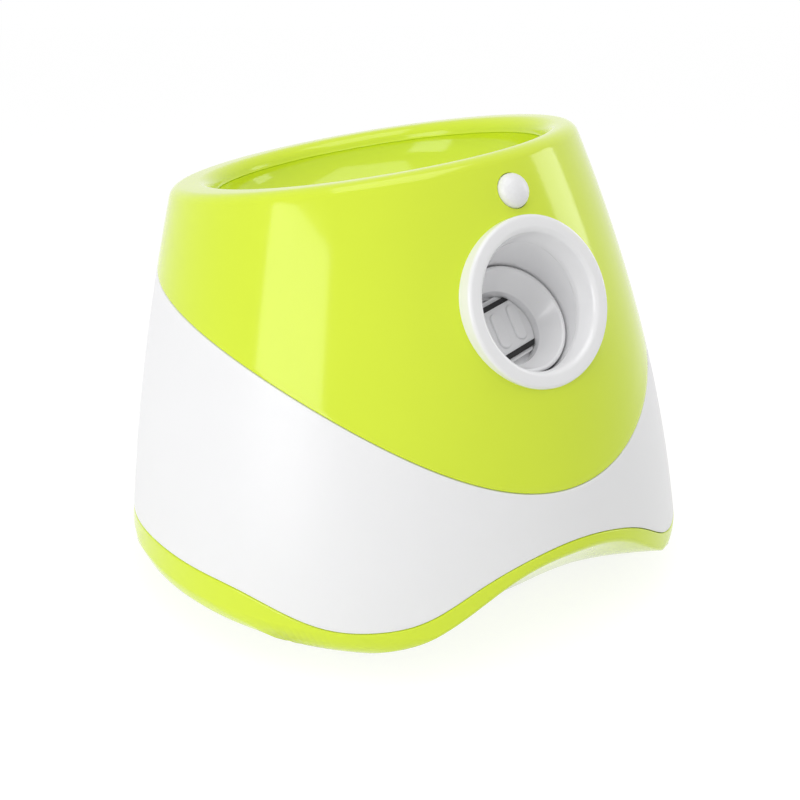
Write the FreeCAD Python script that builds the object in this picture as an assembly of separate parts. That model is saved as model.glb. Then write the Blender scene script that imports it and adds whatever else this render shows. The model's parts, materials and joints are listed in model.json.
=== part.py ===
import FreeCAD
import Part
import math
import os

from FreeCAD import Placement, Rotation, Vector

# Automatic dog ball launcher. Millimetres, +Z up, the ball port faces -Y, symmetric about X = 0 outside.
# The origin is on the floor, under the middle of the whole casing. The dimensions below are measured from
# the widest circle of the casing, whose middle lies FRAME_SHIFT away from it.
FRAME_SHIFT = FreeCAD.Vector(0, -2.5, 0)

# Casing: circles whose radius and centre follow the height
BASE_RADIUS = 145.0
WALL_DRAFT = 0.113
WALL_CURVE = 0.0006
LEAN_DRAFT = 0.0489
LEAN_CURVE = 0.00035
EDGE_REACH = 50.0
EDGE_HEIGHT = 23.0
CASE_WALL = 2.8
FOOT_STANDOFF = 2.0
CASE_TOP = 242.0

# Sloping rim of the hopper
RIM_CENTRE = Vector(0, 29.6, 194.0)
RIM_TILT = 17.2
RIM_MOUTH_RADIUS = 85.0
RIM_DEPTH = 11.0
RIM_OUTER_FILLET = 7.0
RIM_INNER_FILLET = 6.4

# Hopper bowl, with depths measured from the rim plane
BOWL_WALL = 2.4
BOWL_DEPTH = 46.0
BOWL_FLOOR_RADIUS = 30.0
BOWL_FLOOR_SHIFT = 15.0

# Port ring and the launch axis
PORT_CENTRE = Vector(0, -99.5, 148.1)
PORT_TILT = 20.8
PORT_OUTER_RADIUS = 37.1
PORT_LIP_RADIUS = 28.9
PORT_SLEEVE_RADIUS = 33.6
PORT_BACK = 5.0
PORT_PROUD = 5.5
LAUNCH_ANGLE = 40.0

# Ball, barrel and ram, with lengths measured inwards from the port centre
BALL_DIAMETER = 50.0
BARREL_BORE = 26.5
BARREL_WALL = 2.5
BARREL_END = 112.0
TROUGH_END = 162.0
CHAMBER_PLACE = 75.0
CHUTE_BORE = 27.0
CHUTE_WALL = 2.5
RAM_FRONT = 14.5
RAM_RADIUS = 25.6
CUP_HOLE_RADIUS = 17.7
CUP_LENGTH = 16.5
FACE_TURN = 15.0
BLOCK_HALF = 10.4
STRIP_THICK = 2.2
RIB_PITCH = 10.2
CARRIAGE_END = 90.0
CROSS_PIN_PLACE = 84.0
FRONT_POST_PLACE = 20.0
SPRING_SIDE = 36.5
SPRING_COIL_RADIUS = 4.4
SPRING_WIRE = 0.8

# Gears
RACK_MODULE = 1.5
SECTOR_TEETH = 24
SECTOR_TEETH_KEPT = 15
TRAIN_MODULE = 1.0
WHEEL_TEETH = 30
PINION_TEETH = 10
BACKLASH = 0.22
PRESSURE_ANGLE = math.radians(20)
GEAR_PLACE = 85.0
SECTOR_RADIUS = RACK_MODULE * SECTOR_TEETH / 2
RACK_PITCH_DEPTH = 34.0
SECOND_GEAR_TURN = 155.5
FIRST_GEAR_TURN = 236.6
MOTOR_TURN = -49.6
SHAFT_RADIUS = 2.0
SHAFT_GAP = 0.05
STUB_START = 5.0

# Gearbox
LEFT_PLATE_X = -17.0
RIGHT_PLATE_X = 28.0
PLATE_THICK = 2.5
MOTOR_RADIUS = 13.8
MOTOR_LENGTH = 36.0
MOTOR_SHAFT_RADIUS = 1.15

# Base
FLOOR_THICK = 2.6
BAY_LENGTH = 105.0
BAY_DEPTH = 82.0
BAY_FRONT = 25.0
BAY_TOP = 36.0
BAY_WALL = 2.0
CELL_RADIUS = 13.1
CELL_LENGTH = 50.0
FOOT_PLACE = 105.0
SCREW_PLACE = 126.0
SCREW_ANGLES = (62, 118, 242, 298)

# Control panel at the back
PANEL_CENTRE = Vector(0, 0, 92.0)
PANEL_WIDTH = 76.0
PANEL_HEIGHT = 36.0
PANEL_PLANE = 121.0
BUTTON_RADIUS = 6.5
BUTTON_PLACE = 23.0
JACK_BORE = 2.85
JACK_DEPTH = 9.0

X_AXIS = Vector(1, 0, 0)
Y_AXIS = Vector(0, 1, 0)
Z_AXIS = Vector(0, 0, 1)


# Helpers

def save(name, shape):
    shape = shape.translated(FRAME_SHIFT)
    shape.exportStep("parts/" + name + ".step")
    print(name, len(shape.Solids), "solids, volume", round(shape.Volume), "valid", shape.isValid())


def box(low, high):
    size = [high[i] - low[i] for i in range(3)]
    return Part.makeBox(size[0], size[1], size[2], Vector(*low))


def rod(radius, start, end):
    start, end = Vector(*start), Vector(*end)
    return Part.makeCylinder(radius, (end - start).Length, start, end - start)


def moved(shape, placement):
    copy = shape.copy()
    copy.Placement = placement.multiply(copy.Placement)
    return copy


def seen_from(inner, outer):
    """The inner placement as the outer one sees it."""
    return outer.inverse().multiply(inner)


def join(shapes):
    first = shapes[0].multiFuse(shapes[1:]) if len(shapes) > 1 else shapes[0]
    return first.removeSplitter()


def tilted(point, degrees):
    return Placement(point, Rotation(X_AXIS, degrees))


LAUNCH = tilted(PORT_CENTRE, -LAUNCH_ANGLE)
RIM = tilted(RIM_CENTRE, -RIM_TILT)
PORT = tilted(PORT_CENTRE, 90 - PORT_TILT)


def in_launch(shape):
    """Launch frame: Y runs inwards along the barrel, Z is square to it and up."""
    return moved(shape, LAUNCH)


def launch_point(along, up, across=0.0):
    return LAUNCH.multVec(Vector(across, along, up))


def prism_x(points, low, high):
    """Solid with a (y, z) outline between two x planes."""
    corners = [Vector(low, y, z) for y, z in points]
    face = Part.Face(Part.makePolygon(corners + corners[:1]))
    return face.extrude(Vector(high - low, 0, 0))


def rounded_bar(width, height, depth):
    """Bar with round ends along X, its outline in XZ, its depth along +Y."""
    half = width / 2 - height / 2
    parts = [box((-half, 0, -height / 2), (half, depth, height / 2))]
    parts += [rod(height / 2, (x, 0, 0), (x, depth, 0)) for x in (-half, half)]
    return join(parts)


def revolved(points, axis=Z_AXIS):
    """Solid of revolution about Z from (radius, height) corners."""
    corners = [Vector(r, 0, z) for r, z in points]
    face = Part.Face(Part.makePolygon(corners + corners[:1]))
    return face.revolve(Vector(0, 0, 0), axis, 360)


# Casing skin

def skin_radius(z):
    return BASE_RADIUS - WALL_DRAFT * z - WALL_CURVE * z * z


def skin_centre(z):
    rise = z - EDGE_HEIGHT
    return LEAN_DRAFT * rise + LEAN_CURVE * rise * rise


def skin_solid(inset):
    """Casing form: leaning wall over a rounded edge, with its surface moved inwards by the inset."""
    step = (CASE_TOP - EDGE_HEIGHT) / 4
    rings = []
    for index in range(5):
        z = EDGE_HEIGHT + index * step
        circle = Part.makeCircle(skin_radius(z) - inset, Vector(0, skin_centre(z), z))
        rings.append(Part.Wire(circle))
    wall = Part.makeLoft(rings, True, False)
    side = skin_radius(EDGE_HEIGHT)
    draft = WALL_DRAFT + 2 * WALL_CURVE * EDGE_HEIGHT
    start = Vector(side - EDGE_REACH, 0, inset)
    corner = Vector(side - inset + draft * (EDGE_HEIGHT - inset), 0, inset)
    end = Vector(side - inset, 0, EDGE_HEIGHT)
    bend = Part.BezierCurve()
    bend.setPoles([start, corner, end])
    bend.setWeight(2, math.sqrt(0.5))
    closing = Part.makePolygon([end, Vector(0, 0, EDGE_HEIGHT), Vector(0, 0, inset), start])
    edge = Part.Face(Part.Wire([bend.toShape()] + closing.Edges))
    return wall.fuse(edge.revolve(Vector(0, 0, 0), Z_AXIS, 360))


# Wavy edges of the base, as heights round the casing: 0 degrees is the front, both sides alike
ARCH_EDGE = ((0, 47.6), (9, 45.4), (17, 38), (24, 27.5), (30, 18.5), (36, 9), (42, 2), (50, 0),
             (58, 6), (67, 13), (79, 16), (92, 15.5), (108, 11), (122, 3), (132, 0), (140, 0.5),
             (149, 8), (158, 17), (169, 23), (180, 25))
BAND_EDGE = ((0, 53.2), (10, 50.2), (20, 41.4), (29, 29.8), (37, 25), (46, 24.4), (54, 28.3),
             (62, 32.6), (73, 34.2), (90, 33.4), (110, 28), (128, 24.4), (140, 25.5), (152, 31),
             (166, 38), (180, 41))
ARCH_INNER_RADIUS = 88.0
ARCH_OUTER_RADIUS = 160.0
ARCH_EDGE_RADIUS = 137.0


def wavy_ring(radius, edge, scale, lift):
    """Closed smooth curve round Z whose height follows the mirrored edge list."""
    both = list(edge) + [(360 - angle, height) for angle, height in reversed(edge[1:-1])]
    points = []
    for angle, height in both:
        turn = math.radians(angle)
        points.append(Vector(-radius * math.sin(turn), -radius * math.cos(turn), lift + scale * height))
    curve = Part.BSplineCurve()
    curve.interpolate(points, PeriodicFlag=True)
    return curve.toShape()


def below_wave(edge, inner_radius, inner_scale, outer_scale, lift):
    """Solid under a surface ruled between an inner ring and an outer ring."""
    inner = wavy_ring(inner_radius, edge, inner_scale, lift)
    outer = wavy_ring(ARCH_OUTER_RADIUS, edge, outer_scale, lift)
    foot = wavy_ring(ARCH_OUTER_RADIUS, edge, 0.0, -30.0)
    if inner_scale == 0:
        cap = [Part.Face(Part.Wire(inner))]
        bottom = [Part.Face(Part.Wire(foot))]
    else:
        inner_foot = wavy_ring(inner_radius, edge, 0.0, -30.0)
        cap = [Part.makeRuledSurface(inner, inner_foot)]
        ring = Part.makeRuledSurface(inner_foot, foot)
        bottom = [ring]
    faces = cap + [Part.makeRuledSurface(inner, outer), Part.makeRuledSurface(outer, foot)] + bottom
    shell = Part.makeShell([face for item in faces for face in item.Faces])
    shell.sewShape()
    solid = Part.makeSolid(shell)
    if solid.Volume < 0:
        solid.reverse()
    return solid


def arch_solid(lift):
    """What the feet lobes and arches leave open under the base."""
    reach = (ARCH_OUTER_RADIUS - ARCH_INNER_RADIUS) / (ARCH_EDGE_RADIUS - ARCH_INNER_RADIUS)
    return below_wave(ARCH_EDGE, ARCH_INNER_RADIUS, 0.0, reach, lift)


def band_solid():
    """Everything under the seam between the base and the skirt."""
    core = Part.makeCylinder(62, 80, Vector(0, 0, -30))
    return below_wave(BAND_EDGE, 60.0, 1.0, 1.0, 0.0).fuse(core)


# Seam between the skirt and the top casing, as (y, z) points
SPLIT_LINE = ((-165, 38), (-128.2, 76.2), (-97, 100.3), (-59.2, 120), (-18.4, 133.5), (30, 143.5),
              (80, 149.5), (165, 153))


def above_split():
    curve = Part.BSplineCurve()
    curve.interpolate([Vector(-200, y, z) for y, z in SPLIT_LINE])
    first, last = SPLIT_LINE[0], SPLIT_LINE[-1]
    corners = [Vector(-200, last[0], last[1]), Vector(-200, last[0], 320),
               Vector(-200, first[0], 320), Vector(-200, first[0], first[1])]
    wire = Part.Wire([curve.toShape()] + Part.makePolygon(corners).Edges)
    return Part.Face(wire).extrude(Vector(400, 0, 0))


def above_rim(depth=0.0):
    return moved(box((-200, -200, -depth), (200, 200, 200)), RIM)


# Gears

def involute(radius, base_radius):
    angle = math.acos(min(1.0, base_radius / radius))
    return math.tan(angle) - angle


def gear(teeth, module, tip, root, first_tooth, kept=None):
    """Spur gear outline in XY as a face; kept limits the teeth that are cut, counted anticlockwise."""
    pitch = module * teeth / 2
    base = pitch * math.cos(PRESSURE_ANGLE)
    half = (math.pi * module / 2 - BACKLASH) / (2 * pitch)
    flank = []
    for radius in (root, max(base, root + 0.05), pitch, tip):
        rolled = involute(radius, base) if radius > base else 0.0
        flank.append((radius, half + involute(pitch, base) - rolled))
    points = []
    for index in range(teeth):
        centre = first_tooth + 2 * math.pi * index / teeth
        if kept is not None and index >= kept:
            points.append((root, centre))
            points.append((root, centre + math.pi / teeth))
            continue
        points += [(radius, centre - turn) for radius, turn in flank]
        points += [(radius, centre + turn) for radius, turn in reversed(flank)]
    corners = [Vector(r * math.cos(a), r * math.sin(a), 0) for r, a in points]
    return Part.Face(Part.makePolygon(corners + corners[:1]))


def on_shaft(face, centre, low, high):
    """Extrudes an XY outline between two x planes, with its X along world Y and its Y along world Z."""
    turn = Placement(Vector(low, centre.y, centre.z), Rotation(Y_AXIS, Z_AXIS, X_AXIS, "ZXY"))
    return moved(face.extrude(Vector(0, 0, high - low)), turn)


def beside(centre, degrees, distance):
    turn = math.radians(degrees)
    return centre + Vector(0, distance * math.cos(turn), distance * math.sin(turn))


TRAIN_DISTANCE = TRAIN_MODULE * (WHEEL_TEETH + PINION_TEETH) / 2
SECTOR_CENTRE = launch_point(GEAR_PLACE, -RACK_PITCH_DEPTH - SECTOR_RADIUS)
SECOND_CENTRE = beside(SECTOR_CENTRE, SECOND_GEAR_TURN, TRAIN_DISTANCE)
FIRST_CENTRE = beside(SECOND_CENTRE, FIRST_GEAR_TURN, TRAIN_DISTANCE)
MOTOR_CENTRE = beside(FIRST_CENTRE, MOTOR_TURN, TRAIN_DISTANCE)
WHEEL_TIP = 15.6
WHEEL_ROOT = 13.6
PINION_TIP = 5.95
PINION_ROOT = 4.1


def wheel(centre, low, high, tooth_turn):
    face = gear(WHEEL_TEETH, TRAIN_MODULE, WHEEL_TIP, WHEEL_ROOT, math.radians(tooth_turn))
    return on_shaft(face, centre, low, high)


def pinion(centre, low, high, gap_turn):
    first = math.radians(gap_turn) + math.pi / PINION_TEETH
    face = gear(PINION_TEETH, TRAIN_MODULE, PINION_TIP, PINION_ROOT, first)
    return on_shaft(face, centre, low, high)


def shaft_hole(centre, radius, low=-60, high=90):
    return rod(radius, (low, centre.y, centre.z), (high, centre.y, centre.z))


def sector_gear():
    """Part-toothed gear that draws the rack back, fused with its wheel."""
    up_turn = 90 - LAUNCH_ANGLE
    root = SECTOR_RADIUS - 1.25 * RACK_MODULE
    face = gear(SECTOR_TEETH, RACK_MODULE, SECTOR_RADIUS + RACK_MODULE, root,
                math.radians(up_turn), SECTOR_TEETH_KEPT)
    teeth = on_shaft(face, SECTOR_CENTRE, -4, 4)
    hub = rod(6.5, (3.5, SECTOR_CENTRE.y, SECTOR_CENTRE.z), (6.5, SECTOR_CENTRE.y, SECTOR_CENTRE.z))
    back = rod(5, (-10, SECTOR_CENTRE.y, SECTOR_CENTRE.z), (-3.5, SECTOR_CENTRE.y, SECTOR_CENTRE.z))
    drive = wheel(SECTOR_CENTRE, 6.4, 11, SECOND_GEAR_TURN)
    body = join([teeth, hub, back, drive])
    for turn in range(5):
        hole = beside(SECTOR_CENTRE, turn * 72, 10)
        body = body.cut(rod(2.6, (-5, hole.y, hole.z), (3.4, hole.y, hole.z)))
    return body.cut(shaft_hole(SECTOR_CENTRE, SHAFT_RADIUS))


def compound_gear(centre, low, gap_turn, tooth_turn):
    small = pinion(centre, low, low + 6.8, gap_turn)
    large = wheel(centre, low + 6.7, low + 11.4, tooth_turn)
    web = revolved(((6.6, 0), (12, 0), (12, 1.2), (6.6, 1.2)))
    turn = Placement(Vector(low + 10.3, centre.y, centre.z), Rotation(Y_AXIS, Z_AXIS, X_AXIS, "ZXY"))
    large = large.cut(moved(web, turn))
    return join([small, large]).cut(shaft_hole(centre, SHAFT_RADIUS + SHAFT_GAP))


def motor_pinion():
    body = pinion(MOTOR_CENTRE, 19.6, 26.6, MOTOR_TURN + 180)
    return body.cut(shaft_hole(MOTOR_CENTRE, MOTOR_SHAFT_RADIUS))


def motor_can():
    start = RIGHT_PLATE_X + PLATE_THICK
    c = MOTOR_CENTRE
    can = rod(MOTOR_RADIUS, (start, c.y, c.z), (start + MOTOR_LENGTH, c.y, c.z))
    can = can.makeFillet(1.5, [e for e in can.Edges if abs(e.BoundBox.XMin - start - MOTOR_LENGTH) < 0.01])
    flats = [box((start + 0.5, c.y - 20, c.z + s * 11 - (9 if s < 0 else 0)),
                 (start + MOTOR_LENGTH + 1, c.y + 20, c.z + s * 11 + (9 if s > 0 else 0))) for s in (-1, 1)]
    can = can.cut(flats[0]).cut(flats[1])
    boss = rod(4.9, (start - 2.3, c.y, c.z), (start, c.y, c.z))
    bore = rod(MOTOR_SHAFT_RADIUS + SHAFT_GAP, (0, c.y, c.z), (start + 8.2, c.y, c.z))
    bell = rod(5, (start + MOTOR_LENGTH - 0.1, c.y, c.z), (start + MOTOR_LENGTH + 2, c.y, c.z))
    tabs = [box((start + MOTOR_LENGTH - 0.1, c.y + y - 1.5, c.z - 0.3),
                (start + MOTOR_LENGTH + 5, c.y + y + 1.5, c.z + 0.3)) for y in (-9, 9)]
    return join([can, boss, bell] + tabs).cut(bore)


def motor_shaft():
    c = MOTOR_CENTRE
    return rod(MOTOR_SHAFT_RADIUS, (19.0, c.y, c.z), (RIGHT_PLATE_X + PLATE_THICK + 8, c.y, c.z))


# Ram and barrel, in the launch frame

def tube_y(outer, inner, start, end):
    return rod(outer, (0, start, 0), (0, end, 0)).cut(rod(inner, (0, start - 1, 0), (0, end + 1, 0)))


def rail_boxes():
    return [box((s * 11.5 - 2.5, 24, -33.8), (s * 11.5 + 2.5, 160, -24.5)) for s in (-1, 1)]


def launch_barrel():
    """Launch tube, running on as a trough under the drawn-back ram, with rails for the gearbox."""
    outer = BARREL_BORE + BARREL_WALL
    solid = rod(outer, (0, -20, 0), (0, TROUGH_END, 0))
    solid = solid.cut(box((-40, BARREL_END, 0), (40, 200, 40)))
    back = seen_from(PORT, LAUNCH)
    flange = moved(Part.makeCylinder(35.5, 2.5, Vector(0, 0, -PORT_BACK - 2.6)), back)
    front = moved(box((-80, -80, -PORT_BACK - 0.1), (80, 80, 80)), back)
    solid = join([solid, flange] + rail_boxes()).cut(front)
    solid = solid.cut(rod(BARREL_BORE, (0, -30, 0), (0, 200, 0)))
    solid = solid.cut(box((-6.5, 14.8, -40), (6.5, 200, -20)))
    solid = solid.cut(rod(CHUTE_BORE, (0, CHAMBER_PLACE, 0), (0, CHAMBER_PLACE, 60)))
    slot = box((-50, CROSS_PIN_PLACE - 3.6, -3.6), (50, 200, 3.6))
    solid = solid.cut(slot)
    holes = [rod(1.5, (-60, y, -29.5), (60, y, -29.5)) for y in (40, 100)]
    for hole in holes:
        solid = solid.cut(hole)
    pads = [box((min(s * 28, s * 42), 12.4, -2.2), (max(s * 28, s * 42), 16, 2.2)) for s in (-1, 1)]
    for pad in pads:
        solid = solid.fuse(pad)
    return in_launch(solid.removeSplitter())


def ram_cup():
    """Cup that holds the ball: a rounded rim, a cone and a hole in the middle."""
    end = RAM_FRONT + CUP_LENGTH
    profile = [Vector(CUP_HOLE_RADIUS, end, 0), Vector(CUP_HOLE_RADIUS, RAM_FRONT + 9.5, 0),
               Vector(RAM_RADIUS - 2.4, RAM_FRONT + 0.9, 0)]
    tip = Vector(RAM_RADIUS - 1.2, RAM_FRONT, 0)
    shoulder = Vector(RAM_RADIUS, RAM_FRONT + 1.6, 0)
    side = Vector(RAM_RADIUS, end, 0)
    edges = Part.makePolygon(profile).Edges
    edges.append(Part.Arc(profile[-1], tip, shoulder).toShape())
    edges += Part.makePolygon([shoulder, side, profile[0]]).Edges
    face = Part.Face(Part.Wire(edges))
    return in_launch(face.revolve(Vector(0, 0, 0), Y_AXIS, 360))


def oblong(width, height, depth, x, y, z):
    """Upright bar with round ends and soft front edges, pointing to the port."""
    half = height / 2 - width / 2
    parts = [box((x - width / 2, y - depth, z - half), (x + width / 2, y, z + half))]
    parts += [rod(width / 2, (x, y - depth, z + end), (x, y, z + end)) for end in (-half, half)]
    bar = join(parts)
    return bar.makeFillet(depth * 0.7, [e for e in bar.Edges if e.BoundBox.YMax < y - depth + 0.01])


def across_face(low, high, start, end):
    """Bar over the ram's face between two heights, turned about the launch axis."""
    bar = box((-40, start, low), (40, end, high))
    return moved(bar, Placement(Vector(0, 0, 0), FreeCAD.Rotation(Y_AXIS, -FACE_TURN)))


def ram_carriage():
    """Hollow slide behind the cup. A block with three oblong ribs shows in the cup's hole."""
    start = RAM_FRONT + CUP_LENGTH
    strip_end = BLOCK_HALF + STRIP_THICK
    body = rod(RAM_RADIUS - 0.2, (0, start, 0), (0, CARRIAGE_END, 0))
    body = body.cut(rod(RAM_RADIUS - 3.2, (0, start + 4, 0), (0, CARRIAGE_END + 1, 0)))
    bridge = box((-24.4, CROSS_PIN_PLACE - 5, -5), (24.4, CROSS_PIN_PLACE + 5, 5))
    plug = rod(CUP_HOLE_RADIUS - 0.3, (0, start - 4.2, 0), (0, start + 0.1, 0))
    block = plug.common(across_face(-BLOCK_HALF, BLOCK_HALF, start - 3.0, start + 0.1))
    slope = math.tan(math.radians(FACE_TURN))
    ribs = [oblong(6.0, 17.0, 1.1, x, start - 2.9, x * slope) for x in (-RIB_PITCH, 0, RIB_PITCH)]
    ribs = join(ribs).common(plug)
    bars = [plug.common(across_face(low, high, start - 2.2, start + 0.1))
            for low, high in ((strip_end + 0.2, strip_end + 2.2), (-strip_end - 1.8, -strip_end - 0.2))]
    body = join([body, bridge, block, ribs] + bars)
    for low in (BLOCK_HALF - 0.01, -strip_end - 0.19):
        body = body.cut(across_face(low, low + STRIP_THICK + 0.2, start - 5, start + 2))
    pocket = rod(CUP_HOLE_RADIUS - 1, (0, start - 1, 0), (0, start + 2.5, 0))
    pocket = pocket.cut(across_face(-40, strip_end + 2.2, start - 3, start + 4))
    pin = rod(2.5, (-60, CROSS_PIN_PLACE, 0), (60, CROSS_PIN_PLACE, 0))
    seat = box((-5.6, start + 5, -30), (5.6, CARRIAGE_END + 1, -22.6))
    return in_launch(body.cut(pocket).cut(pin).cut(seat).removeSplitter())


def ram_bumpers():
    """Two rubber strips that lie in the grooves over and under the block."""
    start = RAM_FRONT + CUP_LENGTH
    seat = rod(CUP_HOLE_RADIUS - 0.35, (0, start - 3.4, 0), (0, start + 2.0, 0))
    strips = []
    for low in (BLOCK_HALF + 0.05, -BLOCK_HALF - STRIP_THICK - 0.05):
        strips.append(in_launch(seat.common(across_face(low, low + STRIP_THICK, start - 3.4, start + 2.0))))
    return Part.makeCompound(strips)


def ram_rack():
    """Rack under the ram; a gap faces the gear at rest."""
    pitch = math.pi * RACK_MODULE
    top, bottom = -RACK_PITCH_DEPTH + 1.9, -RACK_PITCH_DEPTH - RACK_MODULE
    slope = math.tan(PRESSURE_ANGLE)
    half = pitch / 4 - BACKLASH / 2
    front, back = 18.9, CARRIAGE_END - 0.6
    points = [(front, -22.8), (front, top)]
    count = int((GEAR_PLACE - front) / pitch)
    for index in range(-count, 1):
        middle = GEAR_PLACE + (index - 0.5) * pitch
        if middle - pitch / 2 < front:
            continue
        root_half = half + 1.9 * slope
        tip_half = half - RACK_MODULE * slope
        points += [(middle - root_half, top), (middle - tip_half, bottom)]
        points += [(middle + tip_half, bottom), (middle + root_half, top)]
    points += [(back, top), (back, -22.8)]
    under_cup = rod(RAM_RADIUS + 0.05, (0, 0, 0), (0, RAM_FRONT + CUP_LENGTH + 5.2, 0))
    return in_launch(prism_x(points, -5.4, 5.4).cut(box((-6, 0, -22.7), (6, 200, 0))).cut(under_cup))


def ram_cross_pin():
    pin = rod(2.5, (-40, CROSS_PIN_PLACE, 0), (40, CROSS_PIN_PLACE, 0))
    for side in (-1, 1):
        pin = pin.cut(tube_x(3, 2.1, side * SPRING_SIDE - 1.1, side * SPRING_SIDE + 1.1, CROSS_PIN_PLACE))
    return in_launch(pin)


def tube_x(outer, inner, low, high, along):
    return rod(outer, (low, along, 0), (high, along, 0)).cut(rod(inner, (low - 1, along, 0), (high + 1, along, 0)))


def spring_anchors():
    """Ears on the barrel with posts that the springs' front loops hang on."""
    posts = []
    for side in (-1, 1):
        low, high = sorted((side * 29.4, side * 42))
        ear = box((low, 12.6, 2.25), (high, FRONT_POST_PLACE + 2.5, 4.2))
        post = rod(1.5, (side * SPRING_SIDE, FRONT_POST_PLACE, -4), (side * SPRING_SIDE, FRONT_POST_PLACE, 3))
        cap = rod(2.3, (side * SPRING_SIDE, FRONT_POST_PLACE, -5), (side * SPRING_SIDE, FRONT_POST_PLACE, -3.9))
        posts.append(in_launch(join([ear, post, cap])))
    return Part.makeCompound(posts)


def drive_spring(side):
    """Extension spring between its front anchor and the cross pin."""
    start, end = FRONT_POST_PLACE + 3, CROSS_PIN_PLACE - 3.4
    body = tube_y(SPRING_COIL_RADIUS + SPRING_WIRE, SPRING_COIL_RADIUS - SPRING_WIRE, start, end)
    caps = [rod(SPRING_COIL_RADIUS, (0, y, 0), (0, y + 1.4, 0)) for y in (start, end - 1.4)]
    place = FRONT_POST_PLACE
    front = rod(3.3, (0, place, -SPRING_WIRE), (0, place, SPRING_WIRE)).cut(rod(1.7, (0, place, -2), (0, place, 2)))
    back = tube_x(3.9, 2.3, -SPRING_WIRE, SPRING_WIRE, CROSS_PIN_PLACE)
    whole = join([body, front, back] + caps)
    return in_launch(moved(whole, Placement(Vector(side * SPRING_SIDE, 0, 0), Rotation())))


# Chute, ball flag and switch, in the launch frame

FLAG_PLACE = CHAMBER_PLACE + 35.0
FLAG_HEIGHT = 50.0


def bowl_underside(depth):
    """Half space above a plane below the rim, in the launch frame."""
    return moved(above_rim(depth), LAUNCH.inverse())


def ball_chute():
    """Tube from the bowl's floor down to the barrel, with a top flange and ears for the flag."""
    outer = CHUTE_BORE + CHUTE_WALL
    tube = rod(outer, (0, CHAMBER_PLACE, 10), (0, CHAMBER_PLACE, 110))
    ears = [box((low, CHAMBER_PLACE + 25, FLAG_HEIGHT - 4), (low + 2, FLAG_PLACE + 3.5, FLAG_HEIGHT + 4))
            for low in (-4.6, 2.6)]
    shelf = box((-7, CHAMBER_PLACE + 26, 58), (7, FLAG_PLACE + 10, 60))
    tube = join([tube, shelf] + ears)
    tube = tube.cut(rod(BARREL_BORE + BARREL_WALL + 0.05, (0, 0, 0), (0, 200, 0)))
    tube = tube.cut(bowl_underside(BOWL_DEPTH + BOWL_WALL + 0.1))
    tube = in_launch(tube)
    floor_centre = chute_top()
    flange = Part.makeCylinder(35.5, 2.2, floor_centre - rim_normal() * 2.2, rim_normal())
    tube = tube.fuse(flange)
    bore = in_launch(rod(CHUTE_BORE, (0, CHAMBER_PLACE, 0), (0, CHAMBER_PLACE, 140)))
    slot = in_launch(box((-2.4, CHAMBER_PLACE + 20, 31), (2.4, CHAMBER_PLACE + 32, 48)))
    pin = in_launch(rod(1.0, (-10, FLAG_PLACE, FLAG_HEIGHT), (10, FLAG_PLACE, FLAG_HEIGHT)))
    return tube.cut(bore).cut(slot).cut(pin).removeSplitter()


def rim_normal():
    return RIM.Rotation.multVec(Z_AXIS)


def chute_top():
    """Where the chute's axis meets the underside of the bowl's floor."""
    start, direction = launch_point(CHAMBER_PLACE, 0), LAUNCH.Rotation.multVec(Z_AXIS)
    depth = (start - RIM_CENTRE).dot(rim_normal()) + BOWL_DEPTH + BOWL_WALL + 0.1
    return start - direction * (depth / direction.dot(rim_normal()))


def ball_flag():
    """Lever with a finger in the chute."""
    hub = rod(3, (-2.2, FLAG_PLACE, FLAG_HEIGHT), (2.2, FLAG_PLACE, FLAG_HEIGHT))
    arm = prism_x([(FLAG_PLACE - 1.6, FLAG_HEIGHT), (FLAG_PLACE + 1.6, FLAG_HEIGHT),
                   (FLAG_PLACE - 2.4, 35), (CHAMBER_PLACE + 23.5, 34), (CHAMBER_PLACE + 23.5, 36.5),
                   (FLAG_PLACE - 5.2, 38)], -2.0, 2.0)
    tail = prism_x([(FLAG_PLACE - 1.4, FLAG_HEIGHT), (FLAG_PLACE + 1.4, FLAG_HEIGHT),
                    (FLAG_PLACE + 2.4, FLAG_HEIGHT + 6), (FLAG_PLACE - 0.6, FLAG_HEIGHT + 6)], -2.0, 2.0)
    bore = rod(1.0 + SHAFT_GAP, (-9, FLAG_PLACE, FLAG_HEIGHT), (9, FLAG_PLACE, FLAG_HEIGHT))
    return in_launch(join([hub, arm, tail]).cut(bore))


def flag_pin():
    pin = rod(1.0, (-5.4, FLAG_PLACE, FLAG_HEIGHT), (5.4, FLAG_PLACE, FLAG_HEIGHT))
    head = rod(1.8, (4.65, FLAG_PLACE, FLAG_HEIGHT), (5.6, FLAG_PLACE, FLAG_HEIGHT))
    return in_launch(join([pin, head]))


def ball_switch():
    body = box((-3, CHAMBER_PLACE + 31, 60.05), (3, FLAG_PLACE + 9, 66.5))
    legs = [box((-1.5, CHAMBER_PLACE + y, 66.4), (1.5, CHAMBER_PLACE + y + 0.6, 69.5)) for y in (33, 38, 43)]
    return in_launch(join([body] + legs))


# Port ring and sensor

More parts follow.
